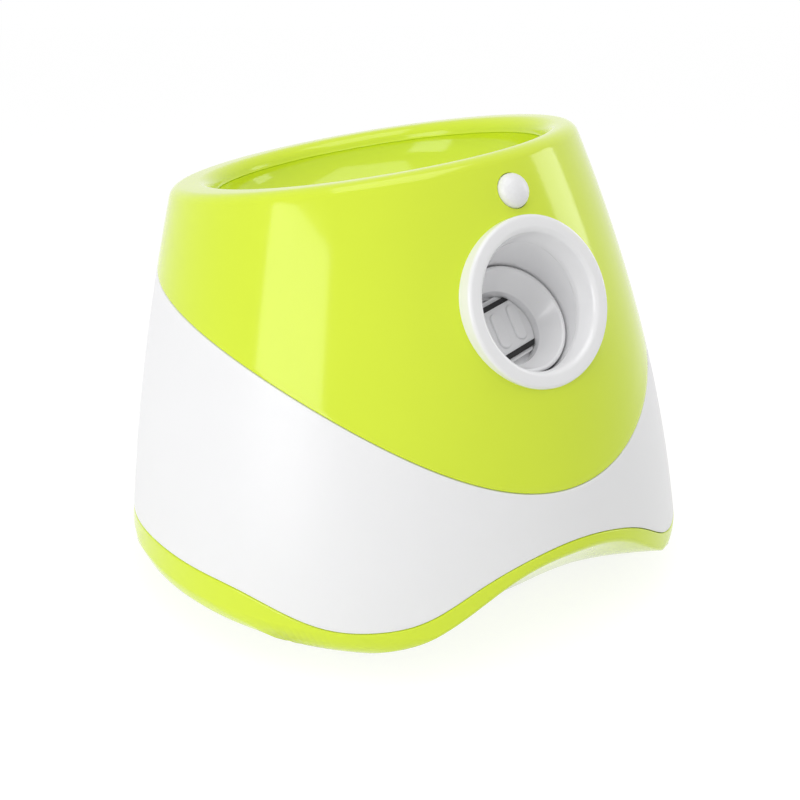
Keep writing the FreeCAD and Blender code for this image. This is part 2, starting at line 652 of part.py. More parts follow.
def port_ring(skin):
    """Flange that follows the casing, with a flared mouth that runs into the barrel."""
    rise = PORT_PROUD
    edge = 4.0
    profile = [Vector(0, 0, -4), Vector(PORT_OUTER_RADIUS, 0, -4), Vector(PORT_OUTER_RADIUS, 0, rise - edge)]
    bend = Vector(PORT_OUTER_RADIUS - edge * 0.293, 0, rise - edge * 0.293)
    top = Vector(PORT_OUTER_RADIUS - edge, 0, rise)
    edges = Part.makePolygon(profile).Edges
    edges.append(Part.Arc(profile[-1], bend, top).toShape())
    edges += Part.makePolygon([top, Vector(0, 0, rise), profile[0]]).Edges
    flange = Part.Face(Part.Wire(edges)).revolve(Vector(0, 0, 0), Z_AXIS, 360)
    flange = moved(flange, PORT).cut(skin)
    sleeve = moved(Part.makeCylinder(PORT_SLEEVE_RADIUS, PORT_BACK + 4, Vector(0, 0, -PORT_BACK)), PORT)
    body = join([flange, sleeve])
    bore = in_launch(rod(BARREL_BORE, (0, -60, 0), (0, 60, 0)))
    flare = moved(revolved(((0, -3.5), (BARREL_BORE - 0.1, -3.5), (PORT_LIP_RADIUS, 2.1),
                            (PORT_LIP_RADIUS + 0.5, 3.7), (PORT_LIP_RADIUS + 1.7, 5.1),
                            (PORT_LIP_RADIUS + 3.5, PORT_PROUD + 0.1), (PORT_LIP_RADIUS + 3.5, 9), (0, 9))), PORT)
    return body.cut(bore).cut(flare).removeSplitter()


DOME_CENTRE = Vector(0, -82.3, 191.8)
DOME_TILT = 27.0
DOME_RADIUS = 9.6
DOME_HEIGHT = 6.0


def dome_place():
    return tilted(DOME_CENTRE, 90 - DOME_TILT)


def sensor_dome():
    """Faceted lens cap with a flange behind the casing wall."""
    rings = ((DOME_RADIUS, -4.0), (DOME_RADIUS, 0.6), (8.3, 3.0), (5.9, 4.9), (2.9, 5.8))
    cap = revolved([(0, -4.0)] + list(rings) + [(0, DOME_HEIGHT)])
    flange = revolved(((0, -5.8), (11.6, -5.8), (11.6, -4.0), (0, -4.0)))
    hollow = revolved(((0, -7), (8.2, -7), (8.2, 0.2), (7.0, 2.2), (4.9, 3.6), (0, 4.4)))
    return moved(join([cap, flange]).cut(hollow), dome_place())


def sensor_board():
    board = box((-12, -9, -12.5), (12, 9, -11))
    can = Part.makeCylinder(4.6, 5.0, Vector(0, 0, -11.1))
    rim = Part.makeCylinder(5.2, 0.6, Vector(0, 0, -11.1))
    posts = [Part.makeCylinder(1.6, 5.2, Vector(x, y, -11.05)) for x, y in ((-10, 7), (10, -7))]
    chip = box((-8, -7, -13.8), (-1, -2, -12.45))
    return moved(join([board, can, rim, chip] + posts), dome_place())


# Shells

def top_shell(skin, inner, split):
    """Upper casing with the thick rounded rim; the bowl hangs under the rim."""
    body = skin.cut(above_rim())
    rim_edges = [e for e in body.Edges if all(abs((v.Point - RIM_CENTRE).dot(rim_normal())) < 0.01
                                              for v in e.Vertexes) and e.Length > 300]
    body = body.makeFillet(RIM_OUTER_FILLET, rim_edges)
    mouth = moved(Part.makeCone(RIM_MOUTH_RADIUS - 1.2, RIM_MOUTH_RADIUS, RIM_DEPTH + 4,
                                Vector(0, 0, -RIM_DEPTH - 4)), RIM)
    hollow = inner.cut(above_rim(RIM_DEPTH))
    body = body.common(split).cut(mouth)
    mouth_edges = [e for e in body.Edges if all(abs((v.Point - RIM_CENTRE).dot(rim_normal())) < 0.01
                                                for v in e.Vertexes)
                   and abs(e.Length - 2 * math.pi * RIM_MOUTH_RADIUS) < 8]
    body = body.makeFillet(RIM_INNER_FILLET, mouth_edges)
    body = body.cut(hollow)
    port_hole = moved(Part.makeCylinder(PORT_SLEEVE_RADIUS + 0.2, 60, Vector(0, 0, -30)), PORT)
    lens_hole = moved(Part.makeCylinder(DOME_RADIUS + 0.15, 30, Vector(0, 0, -15)), dome_place())
    return body.cut(port_hole).cut(lens_hole)


def hopper_bowl(inner):
    """Funnel: circles that shrink and shift to the front, down to a floor with the ball hole."""
    def circles(extra, top):
        wires = []
        for degrees in (0, 28, 52, 74, 90):
            turn = math.radians(degrees)
            depth = top + (BOWL_DEPTH - top) * math.sin(turn)
            reach = (84.2 - BOWL_FLOOR_RADIUS) * math.cos(turn)
            shift = -BOWL_FLOOR_SHIFT * (1 - math.cos(turn))
            circle = Part.makeCircle(BOWL_FLOOR_RADIUS + reach + extra,
                                     Vector(0, shift, -depth - extra * math.sin(turn)))
            wires.append(Part.Wire(moved(circle, RIM).Edges))
        return wires
    outer = Part.makeLoft(circles(BOWL_WALL, RIM_DEPTH), True, False)
    hollow = Part.makeLoft(circles(0.0, RIM_DEPTH - 0.01), True, False)
    flange = moved(Part.makeCylinder(92.5, 2.2, Vector(0, 0, -RIM_DEPTH - 2.3)), RIM).common(inner)
    lift = moved(Part.makeCylinder(84.1, 4, Vector(0, 0, -RIM_DEPTH - 1)), RIM)
    bowl = outer.cut(above_rim(RIM_DEPTH + 0.1)).fuse(flange).cut(hollow).cut(lift)
    bore = in_launch(rod(CHUTE_BORE, (0, CHAMBER_PLACE, 0), (0, CHAMBER_PLACE, 140)))
    return bowl.cut(bore).removeSplitter()


def screw_spots():
    spots = []
    for degrees in SCREW_ANGLES:
        turn = math.radians(degrees)
        spots.append((-SCREW_PLACE * math.sin(turn), -SCREW_PLACE * math.cos(turn)))
    return spots


def lower_housing(skin, inner, split, band):
    body = skin.cut(split).cut(band).cut(inner)
    bosses = []
    core = skin_solid(CASE_WALL - 0.8)
    for x, y in screw_spots():
        boss = rod(4.5, (x, y, 36), (x, y, 84)).common(core)
        bosses.append(boss)
    body = body.multiFuse(bosses)
    for x, y in screw_spots():
        body = body.cut(rod(1.55, (x, y, 30), (x, y, 56)))
    return body.cut(panel_block(0.15)).removeSplitter()


def panel_block(gap):
    """Block with the panel's outline through the back wall."""
    bar = rounded_bar(PANEL_WIDTH + 2 * gap, PANEL_HEIGHT + 2 * gap, 40)
    return moved(bar, Placement(Vector(0, PANEL_PLANE - 6, PANEL_CENTRE.z), Rotation()))


def control_panel(skin):
    """Recessed panel: a wall round its outline and a floor with holes for the buttons and the jack."""
    z = PANEL_CENTRE.z
    outer = panel_block(0.0).common(skin)
    outer = outer.cut(box((-60, 90, 0), (60, PANEL_PLANE - 2.6, 200)))
    inner = moved(rounded_bar(PANEL_WIDTH - 4, PANEL_HEIGHT - 4, 40),
                  Placement(Vector(0, PANEL_PLANE, z), Rotation()))
    body = outer.cut(inner)
    flange = moved(rounded_bar(PANEL_WIDTH + 5, PANEL_HEIGHT + 5, 2.0),
                   Placement(Vector(0, PANEL_PLANE - 2.6, z), Rotation()))
    body = body.fuse(flange.common(skin_solid(CASE_WALL + 0.05)))
    for x in (-BUTTON_PLACE, BUTTON_PLACE):
        body = body.cut(rod(BUTTON_RADIUS + 0.3, (x, 100, z + 4), (x, 140, z + 4)))
    for x in (-7, 0, 7):
        body = body.cut(rod(1.6, (x, 100, z + 8), (x, 140, z + 8)))
    body = body.cut(rod(4.6, (0, 100, z - 6), (0, 140, z - 6)))
    return body.removeSplitter()


def button(x):
    z = PANEL_CENTRE.z + 4
    cap = rod(BUTTON_RADIUS, (x, PANEL_PLANE - 3.6, z), (x, PANEL_PLANE + 2.4, z))
    cap = cap.makeFillet(1.2, [e for e in cap.Edges if abs(e.BoundBox.YMin - PANEL_PLANE - 2.4) < 0.01])
    skirt = rod(BUTTON_RADIUS + 1.4, (x, PANEL_PLANE - 4.6, z), (x, PANEL_PLANE - 3.0, z))
    stem = rod(1.6, (x, PANEL_PLANE - 8.2, z), (x, PANEL_PLANE - 4.5, z))
    return join([cap, skirt, stem])


def indicator_lights():
    z = PANEL_CENTRE.z + 8
    pipes = []
    for x in (-7, 0, 7):
        pipe = rod(1.55, (x, PANEL_PLANE - 9.0, z), (x, PANEL_PLANE + 0.6, z))
        pipes.append(pipe.makeFillet(0.5, [e for e in pipe.Edges if e.BoundBox.YMin > PANEL_PLANE]))
    return Part.makeCompound(pipes)


def dc_jack():
    z = PANEL_CENTRE.z - 6
    nose = rod(4.5, (0, PANEL_PLANE - 3, z), (0, PANEL_PLANE + 0.3, z))
    body = box((-5.5, PANEL_PLANE - 13.5, z - 5.5), (5.5, PANEL_PLANE - 2.7, z + 5.5))
    bore = rod(JACK_BORE, (0, PANEL_PLANE + 1 - JACK_DEPTH, z), (0, PANEL_PLANE + 1, z))
    pin = rod(1.0, (0, PANEL_PLANE - 12, z), (0, PANEL_PLANE - 1.2, z))
    return join([join([nose, body]).cut(bore), pin])


def control_board():
    z = PANEL_CENTRE.z
    back = PANEL_PLANE - 14.5
    board = box((-33, back - 1.6, z - 14), (33, back, z + 15))
    switches = [box((x - 3, back - 0.1, z + 1), (x + 3, back + 3.4, z + 7)) for x in (-BUTTON_PLACE, BUTTON_PLACE)]
    plungers = [rod(1.5, (x, back + 3.3, z + 4), (x, back + 4.6, z + 4)) for x in (-BUTTON_PLACE, BUTTON_PLACE)]
    lamps = [box((x - 1.5, back - 0.1, z + 6.6), (x + 1.5, back + 2, z + 9.4)) for x in (-7, 0, 7)]
    posts = [rod(2.4, (x, back - 0.1, z + dz), (x, PANEL_PLANE - 2.6, z + dz))
             for x, dz in ((-33 + 3.2, -8.6), (33 - 3.2, -8.6))]
    return join([board] + switches + plungers + lamps + posts)


# Base

def base_tray(skin, inner, band):
    """Base with rounded edge, arches, battery bay, feet seats and screw posts."""
    floor = FOOT_STANDOFF + FLOOR_THICK
    form = skin.common(band).cut(arch_solid(FOOT_STANDOFF))
    hollow = inner.cut(arch_solid(floor))
    body = form.cut(hollow)
    low, high = -BAY_LENGTH / 2, BAY_LENGTH / 2
    back = BAY_FRONT + BAY_DEPTH
    bay = box((low - BAY_WALL, BAY_FRONT - BAY_WALL, FOOT_STANDOFF), (high + BAY_WALL, back + BAY_WALL, BAY_TOP + BAY_WALL))
    posts = [rod(4.5, (x, y, floor - 1), (x, y, 35.8)).common(skin) for x, y in screw_spots()]
    posts = [post.cut(arch_solid(FOOT_STANDOFF)) for post in posts]
    stands = [rod(3, (x, y, BAY_TOP + 1), (x, y, BAY_TOP + 7)) for x in (-34, 34) for y in (54, 94)]
    blocks = [box((LEFT_PLATE_X + PLATE_THICK, y - 6, floor - 1), (RIGHT_PLATE_X, y + 6, floor + 7))
              for y in (-70, -22)]
    body = join([body, bay] + posts + stands + blocks)
    body = body.cut(box((low, BAY_FRONT, -1), (high, back, BAY_TOP)))
    rebate = box((low - 6, BAY_FRONT - 1.2, FOOT_STANDOFF - 1), (high + 6, back + 1.2, FOOT_STANDOFF + 1.2))
    body = body.cut(rebate)
    for x, y in foot_spots():
        body = body.cut(rod(8.1, (x, y, 0), (x, y, FOOT_STANDOFF + 1.2)))
    for x, y in screw_spots():
        body = body.cut(rod(1.7, (x, y, 0), (x, y, 50)))
        body = body.cut(rod(3.6, (x, y, 0), (x, y, 19)))
    return body.removeSplitter()


def foot_spots():
    reach = FOOT_PLACE * math.sin(math.radians(45))
    return [(x, y) for x in (-reach, reach) for y in (-reach, reach)]


def rubber_feet():
    feet = []
    for x, y in foot_spots():
        foot = rod(8.0, (x, y, 0), (x, y, FOOT_STANDOFF + 1.15))
        feet.append(foot.makeFillet(0.8, [e for e in foot.Edges if e.BoundBox.ZMax < 0.01]))
    return Part.makeCompound(feet)


def battery_door():
    """Cover of the battery bay with finger grip ribs and a screw boss."""
    low, high = -BAY_LENGTH / 2, BAY_LENGTH / 2
    back = BAY_FRONT + BAY_DEPTH
    plate = box((low - 5.8, BAY_FRONT - 1.0, FOOT_STANDOFF - 0.6), (high + 5.8, back + 1.0, FOOT_STANDOFF + 1.1))
    lid = box((low + 0.3, BAY_FRONT + 0.3, FOOT_STANDOFF + 1.0), (high - 0.3, back - 0.3, FOOT_STANDOFF + 2.4))
    body = join([plate, lid])
    for step in range(5):
        y = BAY_FRONT + 8 + step * 3.2
        body = body.cut(box((-14, y, 0), (14, y + 1.4, FOOT_STANDOFF + 0.1)))
    return body


def battery_cells():
    cells = []
    z = FOOT_STANDOFF + 2.6 + CELL_RADIUS + 1.2
    for row in range(3):
        y = BAY_FRONT + CELL_RADIUS + 0.7 + row * (2 * CELL_RADIUS + 0.5)
        for side in (-1, 1):
            inner_end, outer_end = side * 1.1, side * (1.1 + CELL_LENGTH - 1.6)
            body = rod(CELL_RADIUS, (inner_end, y, z), (outer_end, y, z))
            nub_end = side * (1.1 + CELL_LENGTH)
            nub = rod(2.8, (outer_end - side * 0.1, y, z), (nub_end, y, z))
            cells.append(join([body, nub]))
    return Part.makeCompound(cells)


def battery_contacts():
    z = FOOT_STANDOFF + 2.6 + CELL_RADIUS + 1.2
    plates = []
    for side in (-1, 1):
        wall = side * BAY_LENGTH / 2
        for row in range(3):
            y = BAY_FRONT + CELL_RADIUS + 0.7 + row * (2 * CELL_RADIUS + 0.5)
            low, high = sorted((wall - side * 0.05, wall - side * 0.75))
            plates.append(box((low, y - 6, z - 7), (high, y + 6, z + 7)))
    return Part.makeCompound(plates)


def base_screws():
    screws = []
    for x, y in screw_spots():
        head = rod(3.2, (x, y, 16.6), (x, y, 18.9))
        shank = rod(1.5, (x, y, 18.8), (x, y, 54))
        slot = box((x - 2.2, y - 0.4, 16), (x + 2.2, y + 0.4, 17.6)).fuse(
            box((x - 0.4, y - 2.2, 16), (x + 0.4, y + 2.2, 17.6)))
        screws.append(join([head, shank]).cut(slot))
    return Part.makeCompound(screws)


def main_board():
    z = BAY_TOP + 7.05
    board = box((-38, 48, z), (38, 100, z + 1.6))
    for x in (-34, 34):
        for y in (54, 94):
            board = board.cut(rod(1.4, (x, y, z - 1), (x, y, z + 3)))
    caps = [rod(4, (x, 70, z + 1.5), (x, 70, z + 13)) for x in (-26, -16)]
    chips = [box((-4, 62, z + 1.5), (10, 72, z + 3.2)), box((16, 58, z + 1.5), (24, 66, z + 3.4))]
    relay = box((12, 78, z + 1.5), (31, 93, z + 16))
    buzzer = rod(6, (-22, 88, z + 1.5), (-22, 88, z + 9))
    plugs = [box((x, 50, z + 1.5), (x + 10, 56, z + 8)) for x in (-20, -6, 8)]
    return join([board, relay, buzzer] + caps + chips + plugs)


# Gearbox

def plate_outline():
    """Side plate outline: three gear centres, an arm to the barrel rail and two feet."""
    top_front = launch_point(32, -25.5)
    top_back = launch_point(108, -25.5)
    low_front = launch_point(32, -33.8)
    points = [(-78, 4.7), (-62, 4.7), (-62, 10), (-30, 10), (-30, 4.7), (-14, 4.7), (-12, 30),
              (top_back.y, top_back.z), (top_front.y, top_front.z), (low_front.y, low_front.z),
              (-105, 62), (-108, 40), (-96, 26), (-78, 18)]
    return points


def gearbox_plate(low, up_to_rail):
    body = prism_x(plate_outline(), low, low + PLATE_THICK)
    if not up_to_rail:
        body = body.cut(in_launch(box((-60, -20, -36.5), (60, 200, 60))))
    for centre in (SECTOR_CENTRE, FIRST_CENTRE):
        ring = rod(4.5, (low - 1.2, centre.y, centre.z), (low + PLATE_THICK + 1.2, centre.y, centre.z))
        body = body.fuse(ring)
    if not up_to_rail:
        boss = rod(3.6, (18.2, SECOND_CENTRE.y, SECOND_CENTRE.z), (low + 3.5, SECOND_CENTRE.y, SECOND_CENTRE.z))
        body = body.fuse(boss)
    for centre in (SECTOR_CENTRE, FIRST_CENTRE) if up_to_rail else (SECTOR_CENTRE, SECOND_CENTRE, FIRST_CENTRE):
        gap = SHAFT_GAP if centre is SECTOR_CENTRE else 0.0
        body = body.cut(shaft_hole(centre, SHAFT_RADIUS + gap))
    if up_to_rail:
        for along in (40, 100):
            spot = launch_point(along, -29.5)
            body = body.cut(shaft_hole(spot, 1.5))
    else:
        body = body.cut(shaft_hole(MOTOR_CENTRE, 5.0))
        for side in (-1, 1):
            body = body.cut(rod(1.4, (20, MOTOR_CENTRE.y + side * 8, MOTOR_CENTRE.z), (40, MOTOR_CENTRE.y + side * 8, MOTOR_CENTRE.z)))
    for spot in spacer_spots():
        body = body.cut(shaft_hole(Vector(0, *spot), 1.6))
    return body.removeSplitter()


def spacer_spots():
    return ((-93, 83), (-25.5, 32), (-70, 16))


def gearbox_spacers():
    posts = []
    for y, z in spacer_spots():
        post = rod(3.5, (LEFT_PLATE_X + PLATE_THICK, y, z), (RIGHT_PLATE_X, y, z))
        posts.append(post.cut(rod(1.5, (-60, y, z), (60, y, z))))
    return Part.makeCompound(posts)


def gearbox_screws():
    screws = []
    for y, z in spacer_spots():
        for face, inner in ((LEFT_PLATE_X, LEFT_PLATE_X + 8), (RIGHT_PLATE_X + PLATE_THICK, RIGHT_PLATE_X - 6)):
            outward = -1 if inner > face else 1
            head = rod(2.8, (face, y, z), (face + outward * 2, y, z))
            screws.append(join([head, rod(1.5, (face, y, z), (inner, y, z))]))
    for along in (40, 100):
        spot = launch_point(along, -29.5)
        head = rod(2.8, (LEFT_PLATE_X - 2, spot.y, spot.z), (LEFT_PLATE_X, spot.y, spot.z))
        shank = rod(1.45, (LEFT_PLATE_X, spot.y, spot.z), (LEFT_PLATE_X + 7, spot.y, spot.z))
        screws.append(join([head, shank]))
    return Part.makeCompound(screws)


def shaft(centre, low):
    return rod(SHAFT_RADIUS, (low, centre.y, centre.z), (RIGHT_PLATE_X + PLATE_THICK + 2.5, centre.y, centre.z))


def build():
    os.makedirs("parts", exist_ok=True)
    skin = skin_solid(0.0)
    inner = skin_solid(CASE_WALL)
    split = above_split()
    band = band_solid()
    save("top_shell", top_shell(skin, inner, split))
    save("hopper_bowl", hopper_bowl(inner))
    save("lower_housing", lower_housing(skin, inner, split, band))
    save("base_tray", base_tray(skin, inner, band))
    save("port_ring", port_ring(skin))
    save("sensor_dome", sensor_dome())
    save("sensor_board", sensor_board())
    save("launch_barrel", launch_barrel())
    save("ball_chute", ball_chute())
    save("ball_flag", ball_flag())
    save("flag_pin", flag_pin())
    save("ball_switch", ball_switch())
    save("ram_cup", ram_cup())
    save("ram_carriage", ram_carriage())
    save("ram_bumpers", ram_bumpers())
    save("ram_rack", ram_rack())
    save("ram_cross_pin", ram_cross_pin())
    save("spring_anchors", spring_anchors())
    save("drive_spring_left", drive_spring(-1))
    save("drive_spring_right", drive_spring(1))
    save("sector_gear", sector_gear())
    save("gear_second", compound_gear(SECOND_CENTRE, 6.2, SECOND_GEAR_TURN + 180, FIRST_GEAR_TURN))
    save("gear_first", compound_gear(FIRST_CENTRE, 13.0, FIRST_GEAR_TURN + 180, MOTOR_TURN))
    save("motor_pinion", motor_pinion())
    save("motor_can", motor_can())
    save("motor_shaft", motor_shaft())
    save("sector_shaft", shaft(SECTOR_CENTRE, LEFT_PLATE_X - 2.5))
    save("gear_shafts", Part.makeCompound([shaft(SECOND_CENTRE, STUB_START), shaft(FIRST_CENTRE, LEFT_PLATE_X - 2.5)]))
    save("gearbox_plate_left", gearbox_plate(LEFT_PLATE_X, True))
    save("gearbox_plate_right", gearbox_plate(RIGHT_PLATE_X, False))
    save("gearbox_spacers", gearbox_spacers())
    save("gearbox_screws", gearbox_screws())
    save("main_board", main_board())
    save("control_panel", control_panel(skin))
    save("power_button", button(-BUTTON_PLACE))
    save("distance_button", button(BUTTON_PLACE))
    save("indicator_lights", indicator_lights())
    save("dc_jack", dc_jack())
    save("control_board", control_board())
    save("battery_door", battery_door())
    save("battery_cells", battery_cells())
    save("battery_contacts", battery_contacts())
    save("rubber_feet", rubber_feet())
    save("base_screws", base_screws())


build()
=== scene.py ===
import json
import math

import bpy
import numpy as np
from mathutils import Matrix, Vector


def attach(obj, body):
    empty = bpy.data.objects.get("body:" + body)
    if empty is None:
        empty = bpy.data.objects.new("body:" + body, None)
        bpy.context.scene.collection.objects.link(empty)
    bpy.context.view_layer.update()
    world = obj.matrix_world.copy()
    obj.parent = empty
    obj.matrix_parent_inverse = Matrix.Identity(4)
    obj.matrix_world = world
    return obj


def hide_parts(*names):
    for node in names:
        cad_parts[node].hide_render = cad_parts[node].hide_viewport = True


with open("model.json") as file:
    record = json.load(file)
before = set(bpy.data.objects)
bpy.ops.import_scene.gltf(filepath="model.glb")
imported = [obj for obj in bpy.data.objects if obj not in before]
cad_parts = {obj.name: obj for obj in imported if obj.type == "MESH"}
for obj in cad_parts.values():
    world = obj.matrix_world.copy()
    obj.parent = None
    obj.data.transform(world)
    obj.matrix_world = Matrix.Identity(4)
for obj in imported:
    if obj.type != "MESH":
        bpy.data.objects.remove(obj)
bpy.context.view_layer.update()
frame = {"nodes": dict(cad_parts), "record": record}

# Lengths of the object are written in millimetres, measured from the widest circle of the casing.
MM = 0.001
FRAME_SHIFT = -2.5
COLUMNS = 288
HAIR = 0.15

# Casing: circles whose radius and middle follow the height
BASE_RADIUS = 145.0
WALL_DRAFT = 0.113
WALL_CURVE = 0.0006
LEAN_DRAFT = 0.0489
LEAN_CURVE = 0.00035
EDGE_HEIGHT = 23.0
EDGE_REACH = 50.0
CASE_WALL = 2.8
FOOT_STANDOFF = 2.0
SEAM_ROUND = 0.6

# Rim, funnel and the plane of the ball hole
RIM_CENTRE = np.array((-4.0, 18.6, 198.5))
RIM_SLOPE = (0.129, -0.083)
MOUTH_RADIUS = 82.0
RIM_DEPTH = 7.4
OUTER_FILLET = 7.0
INNER_FILLET = 6.4
BOWL_DEPTH = 41.0
FLOOR_CENTRE = np.array((0.0, 29.6, 194.0))
FLOOR_TILT = math.radians(17.2)
FLOOR_DEPTH = 46.0
BOWL_FLOOR_RADIUS = 30.0
BOWL_SHIFT = 15.0
BOWL_WALL = 2.3

# Battery bay and base screws
BAY_HALF = 52.5
BAY_FRONT = 25.0
BAY_BACK = 107.0
BAY_TOP = 36.0
BAY_WALL = 2.0
DOOR_LAP = 6.0
DOOR_GAP = 1.2
SCREW_RING = 126.0
SCREW_TURNS = (62, 118, 242, 298)
WELL_RADIUS = 3.6
WELL_TOP = 19.0

# Port, ball tube and ram
PORT_CENTRE = np.array((0.0, -99.5, 148.1))
PORT_TILT = math.radians(20.8)
PORT_RADIUS = 36.3
PORT_FACE = 5.5
PORT_EDGE = 1.8
PORT_HOLE = 33.8
SLEEVE_RADIUS = 33.4
PORT_BACK = 5.0
LIP_RADIUS = 28.9
BORE_RADIUS = 26.5
LAUNCH_ANGLE = math.radians(40)
CHAMBER_PLACE = 75.0
CHUTE_RADIUS = 27.0
RAM_FRONT = 14.5
RAM_RADIUS = 25.6
CUP_HOLE = 17.7
CUP_LENGTH = 16.5

# Sensor lens
DOME_CENTRE = np.array((0.0, -82.3, 191.8))
DOME_TILT = math.radians(27)
DOME_RADIUS = 7.55
DOME_HOLE = 7.75
DOME_RISE = 5.2

# Back panel
PANEL_PLANE = 121.0
PANEL_HEIGHT = 92.0
PANEL_WIDTH = 76.3
PANEL_DROP = 36.3

# Camera, in metres from the floor under the middle of the object
CAMERA_TURN = math.radians(-32.7619)
CAMERA_RISE = math.radians(21.5923)
CAMERA_PLACE = (-0.25693213, -0.39831121, 0.25836997)
CAMERA_LENS = 43.47

# Heights of the wavy edges, by degrees from the front, both sides alike
ARCH_EDGE = ((0, 46.6), (9, 43.6), (16, 35.8), (22, 26.4), (27, 19.2), (32, 14.0), (38.5, 9.2),
             (45, 3.5), (51, 2.5), (57, 9.5), (64, 12), (73, 13.2), (92, 13), (108, 10), (122, 3),
             (132, 0), (140, 0.5), (149, 8), (158, 17), (169, 23), (180, 25))
BAND_EDGE = ((0, 53.2), (10, 50.2), (20, 41.4), (29, 29.8), (37, 25), (46, 24.4), (54, 28.3),
             (62, 32.6), (73, 34.2), (90, 33.4), (110, 28), (128, 24.4), (140, 25.5), (152, 31),
             (166, 38), (180, 41))
SPLIT_LINE = ((-165, 38), (-128.2, 76.2), (-97, 100.3), (-59.2, 120), (-18.4, 133.5), (30, 143.5),
              (80, 149.5), (165, 153))

# Radii between which the underside rises to those heights
ARCH_INNER = 88.0
ARCH_REACH = 137.0


# Curves

def line_through(points, around=False):
    """Smooth curve through (place, height) points, as a function of the place."""
    x = np.array([p[0] for p in points], float)
    y = np.array([p[1] for p in points], float)
    if around:
        x = np.concatenate((x, 360 - x[-2:0:-1], x[:1] + 360))
        y = np.concatenate((y, y[-2:0:-1], y[:1]))
    count = len(x)
    step = np.diff(x)
    slope = np.diff(y) / step
    system = np.zeros((count, count))
    side = np.zeros(count)
    for i in range(1, count - 1):
        system[i, i - 1:i + 2] = step[i - 1], 2 * (step[i - 1] + step[i]), step[i]
        side[i] = 6 * (slope[i] - slope[i - 1])
    system[0, 0] = system[-1, -1] = 1
    if around:
        system[0, -1] = -1
        system[-1, [0, 1, -2]] = 2 * (step[0] + step[-1]), step[0], step[-1]
        system[-1, -1] = 0
        side[-1] = 6 * (slope[0] - slope[-1])
    bend = np.linalg.solve(system, side)

    def height(place):
        place = np.asarray(place, float)
        place = np.mod(place, 360) if around else np.clip(place, x[0], x[-1])
        i = np.clip(np.searchsorted(x, place, side="right") - 1, 0, count - 2)
        a, b, h = x[i + 1] - place, place - x[i], step[i]
        return ((bend[i] * a ** 3 + bend[i + 1] * b ** 3) / (6 * h)
                + (y[i] / h - bend[i] * h / 6) * a + (y[i + 1] / h - bend[i + 1] * h / 6) * b)
    return height


arch_height = line_through(ARCH_EDGE, around=True)
band_height = line_through(BAND_EDGE, around=True)
split_height = line_through(SPLIT_LINE)


def meet(low, high, gap, count):
    """Where a rising gap passes nought, one answer for each column."""
    low = np.full(count, float(low)) if np.isscalar(low) else low.copy()
    high = np.full(count, float(high)) if np.isscalar(high) else high.copy()
    for _ in range(45):
        middle = (low + high) / 2
        above = gap(middle) > 0
        high = np.where(above, middle, high)
        low = np.where(above, low, middle)
    return (low + high) / 2


def unit(v):
    return v / np.linalg.norm(v, axis=-1, keepdims=True)


def rounded(start, corner, end, weight, steps):
    """Rows of a round corner between two rows, without the first."""
    rows = []
    for step in range(1, steps + 1):
        t = step / steps
        parts = (1 - t) ** 2, 2 * weight * t * (1 - t), t * t
        rows.append((parts[0] * start + parts[1] * corner + parts[2] * end) / sum(parts))
    return rows


# Casing skin, at a turn from the front and a height

TURN = np.linspace(0, 2 * math.pi, COLUMNS + 1)


def lean(z):
    """How far back the circle at a height has moved."""
    rise = np.maximum(z - EDGE_HEIGHT, 0)
    return LEAN_DRAFT * rise + LEAN_CURVE * rise * rise


def skin_radius(z):
    return BASE_RADIUS - WALL_DRAFT * z - WALL_CURVE * z * z


def edge_point(share, inset):
    """Radius and height on the rounded lower edge; a share of 1 is where the wall begins."""
    side = skin_radius(EDGE_HEIGHT)
    draft = WALL_DRAFT + 2 * WALL_CURVE * EDGE_HEIGHT
    weights = (1 - share) ** 2, math.sqrt(2) * share * (1 - share), share * share
    total = sum(weights)
    corner = side - inset + draft * (EDGE_HEIGHT - inset)
    radius = (weights[0] * (side - EDGE_REACH) + weights[1] * corner
              + weights[2] * (side - inset)) / total
    height = (weights[0] * inset + weights[1] * inset + weights[2] * EDGE_HEIGHT) / total
    return radius, height


def on_skin(turn, height, inset=0.0):
    """Points of the casing; heights below the wall are shares of the rounded edge, from -1 to 0."""
    low_radius, low_height = edge_point(np.clip(1 + height, 0, 1), inset)
    wall = height > 0
    z = np.where(wall, height + EDGE_HEIGHT, low_height)
    radius = np.where(wall, skin_radius(z) - inset, low_radius)
    return np.stack((radius * np.sin(turn), lean(z) - radius * np.cos(turn), z), axis=-1)


def round_angle(points):
    return np.degrees(np.arctan2(points[..., 0], -points[..., 1]))


def height_on_skin(low, high, target):
    """Skin heights where the wall's own z passes the target, given as a function of the points."""
    return meet(low, high, lambda h: on_skin(TURN, h)[..., 2] - target(on_skin(TURN, h)), COLUMNS + 1)


def arch_at(points, lift=0.0):
    """Height of the underside below the points."""
    out = (np.hypot(points[..., 0], points[..., 1]) - ARCH_INNER) / (ARCH_REACH - ARCH_INNER)
    return FOOT_STANDOFF + lift + np.maximum(out, 0) * arch_height(round_angle(points))


